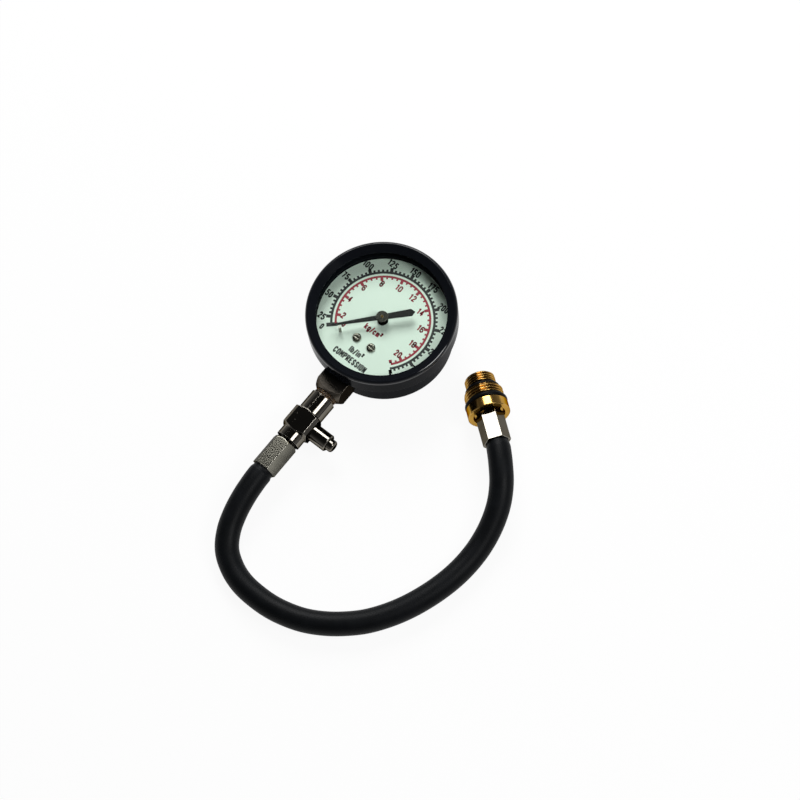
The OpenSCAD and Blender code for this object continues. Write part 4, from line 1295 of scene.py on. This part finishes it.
@dataclass
class Studio:
    """Camera at the photograph's angle, white floor and soft lamps.

    The scale is in pixels to a millimetre, and middle_at is the pixel where the middle falls in a
    picture that is as wide as image. The sky gives a grey for each height.
    """

    right: Point = (0.7741, 0.6291, -0.0695)
    up: Point = (-0.5808, 0.7496, 0.3173)
    scale: float = 2.23
    image: float = 800.0
    middle: Point = (35.0, -50.0, 12.0)
    middle_at: tuple[float, float] = (374.49, 453.95)
    distance: float = 1250.0
    sensor: float = 36.0
    floor_w: float = 6.0
    floor_z: float = -0.36
    aim: Point = (40.0, -50.0, 0.0)
    lamps: tuple[Softbox, ...] = (
        Softbox("key_softbox", way=(-0.46, 0.54, 0.70), distance=1.1, size=(0.6, 0.6), power=10.6),
        Softbox("top_softbox", way=(0.53, 0.21, 0.82), distance=1.1, size=(0.42, 0.42), power=5.2))
    clip: tuple[float, float] = (0.05, 20.0)
    floor_grey: float = 0.9
    white_share: float = 0.93
    sky: tuple[tuple[float, float], ...] = ((0.0, 0.35), (0.25, 0.25), (0.6, 0.06), (0.85, 0.02))
    sky_blue: float = 1.03

    def build(self) -> None:
        """Set up the camera, the floor, the world and the lamps."""
        self.shoot()
        self.lay_floor()
        self.surround()
        for lamp in self.lamps:
            lamp.build(Vector(self.aim) * MM)
        bpy.context.scene.view_settings.view_transform = "Standard"

    def shoot(self) -> None:
        """Place the camera so that the tester falls where the photograph has it."""
        right = Vector(self.right).normalized()
        back = right.cross(Vector(self.up)).normalized()
        up = back.cross(right)
        spot = (Vector(self.middle) + back * self.distance) * MM
        data = bpy.data.cameras.new("camera")
        data.sensor_width = self.sensor
        data.lens = self.scale * self.distance / self.image * self.sensor
        data.shift_x = 0.5 - self.middle_at[0] / self.image
        data.shift_y = self.middle_at[1] / self.image - 0.5
        data.clip_start, data.clip_end = self.clip
        camera = bpy.data.objects.new("camera", data)
        camera.matrix_world = Matrix.Translation(spot) @ Matrix((right, up, back)).transposed().to_4x4()
        bpy.context.scene.collection.objects.link(camera)
        bpy.context.scene.camera = camera

    def lay_floor(self) -> None:
        """Lay a white floor that keeps a soft shadow."""
        bm = bmesh.new()
        bmesh.ops.create_grid(bm, x_segments=1, y_segments=1, size=self.floor_w / 2,
                              matrix=Matrix.Translation((0, 0, self.floor_z * MM)))
        mesh = bpy.data.meshes.new("floor")
        bm.to_mesh(mesh)
        bm.free()
        material = bpy.data.materials.new("white_floor")
        material.use_nodes = True
        material.node_tree.nodes.clear()
        graph = Graph(material.node_tree)
        ways = [graph.node("ShaderNodeLightPath", {}, {}, name)
                for name in ("Is Camera Ray", "Is Glossy Ray", "Is Transmission Ray")]
        white = graph.node("ShaderNodeEmission", {}, {"Strength": 1.0})
        matt = graph.node("ShaderNodeBsdfDiffuse", {}, {"Color": (*[self.floor_grey] * 3, 1.0)})
        share = self.white_share * sum(ways[1:], ways[0]).clamp()
        graph.output(graph.node("ShaderNodeMixShader", {}, {0: share, 1: matt, 2: white}))
        mesh.materials.append(material)
        floor = bpy.data.objects.new("floor", mesh)
        bpy.context.scene.collection.objects.link(floor)

    def surround(self) -> None:
        """Surround the set with a pale horizon under a dark ceiling."""
        world = bpy.data.worlds.new("studio")
        world.use_nodes = True
        world.node_tree.nodes.clear()
        graph = Graph(world.node_tree)
        way = graph.node("ShaderNodeTexCoord", {}, {}, "Generated")
        height = graph.node("ShaderNodeSeparateXYZ", {}, {0: way}, "Z")
        stops = [(z, (grey, grey, grey * self.sky_blue, 1.0)) for z, grey in self.sky]
        tone = graph.node("ShaderNodeValToRGB", {"stops": stops}, {0: height})
        light = graph.node("ShaderNodeBackground", {}, {"Color": tone, "Strength": 1.0})
        graph.output(light, "ShaderNodeOutputWorld")
        bpy.context.scene.world = world


def main() -> None:
    """Build the set and the tester."""
    logging.basicConfig(level=logging.INFO, format="%(message)s")
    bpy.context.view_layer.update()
    Studio().build()
    adaptor = Adaptor()
    brass = TurnedMetal("adaptor_brass", "#c49c56", 0.12, tarnish="#6e4c22", tarnish_share=0.4, rim="#7c5e30",
                        haze=0.05, painted_edge_highlight="#e2bf78", turn=tuple(adaptor.turn),
                        centre=tuple(x * MM for x in adaptor.back))
    fitting = adaptor.build(brass)
    steel = Plate.STEEL.value
    Hose().build(adaptor, [fitting, VALVE_COIL.build(steel)], Plate.HOSE.value)
    RELIEF_COIL.build(steel)
    TUBE.build(Plate.BRONZE.value)
    StemThread().build(Plate.THREAD.value)
    DialPrint().build()
    dress_solids()


if __name__ == "__main__":
    main()
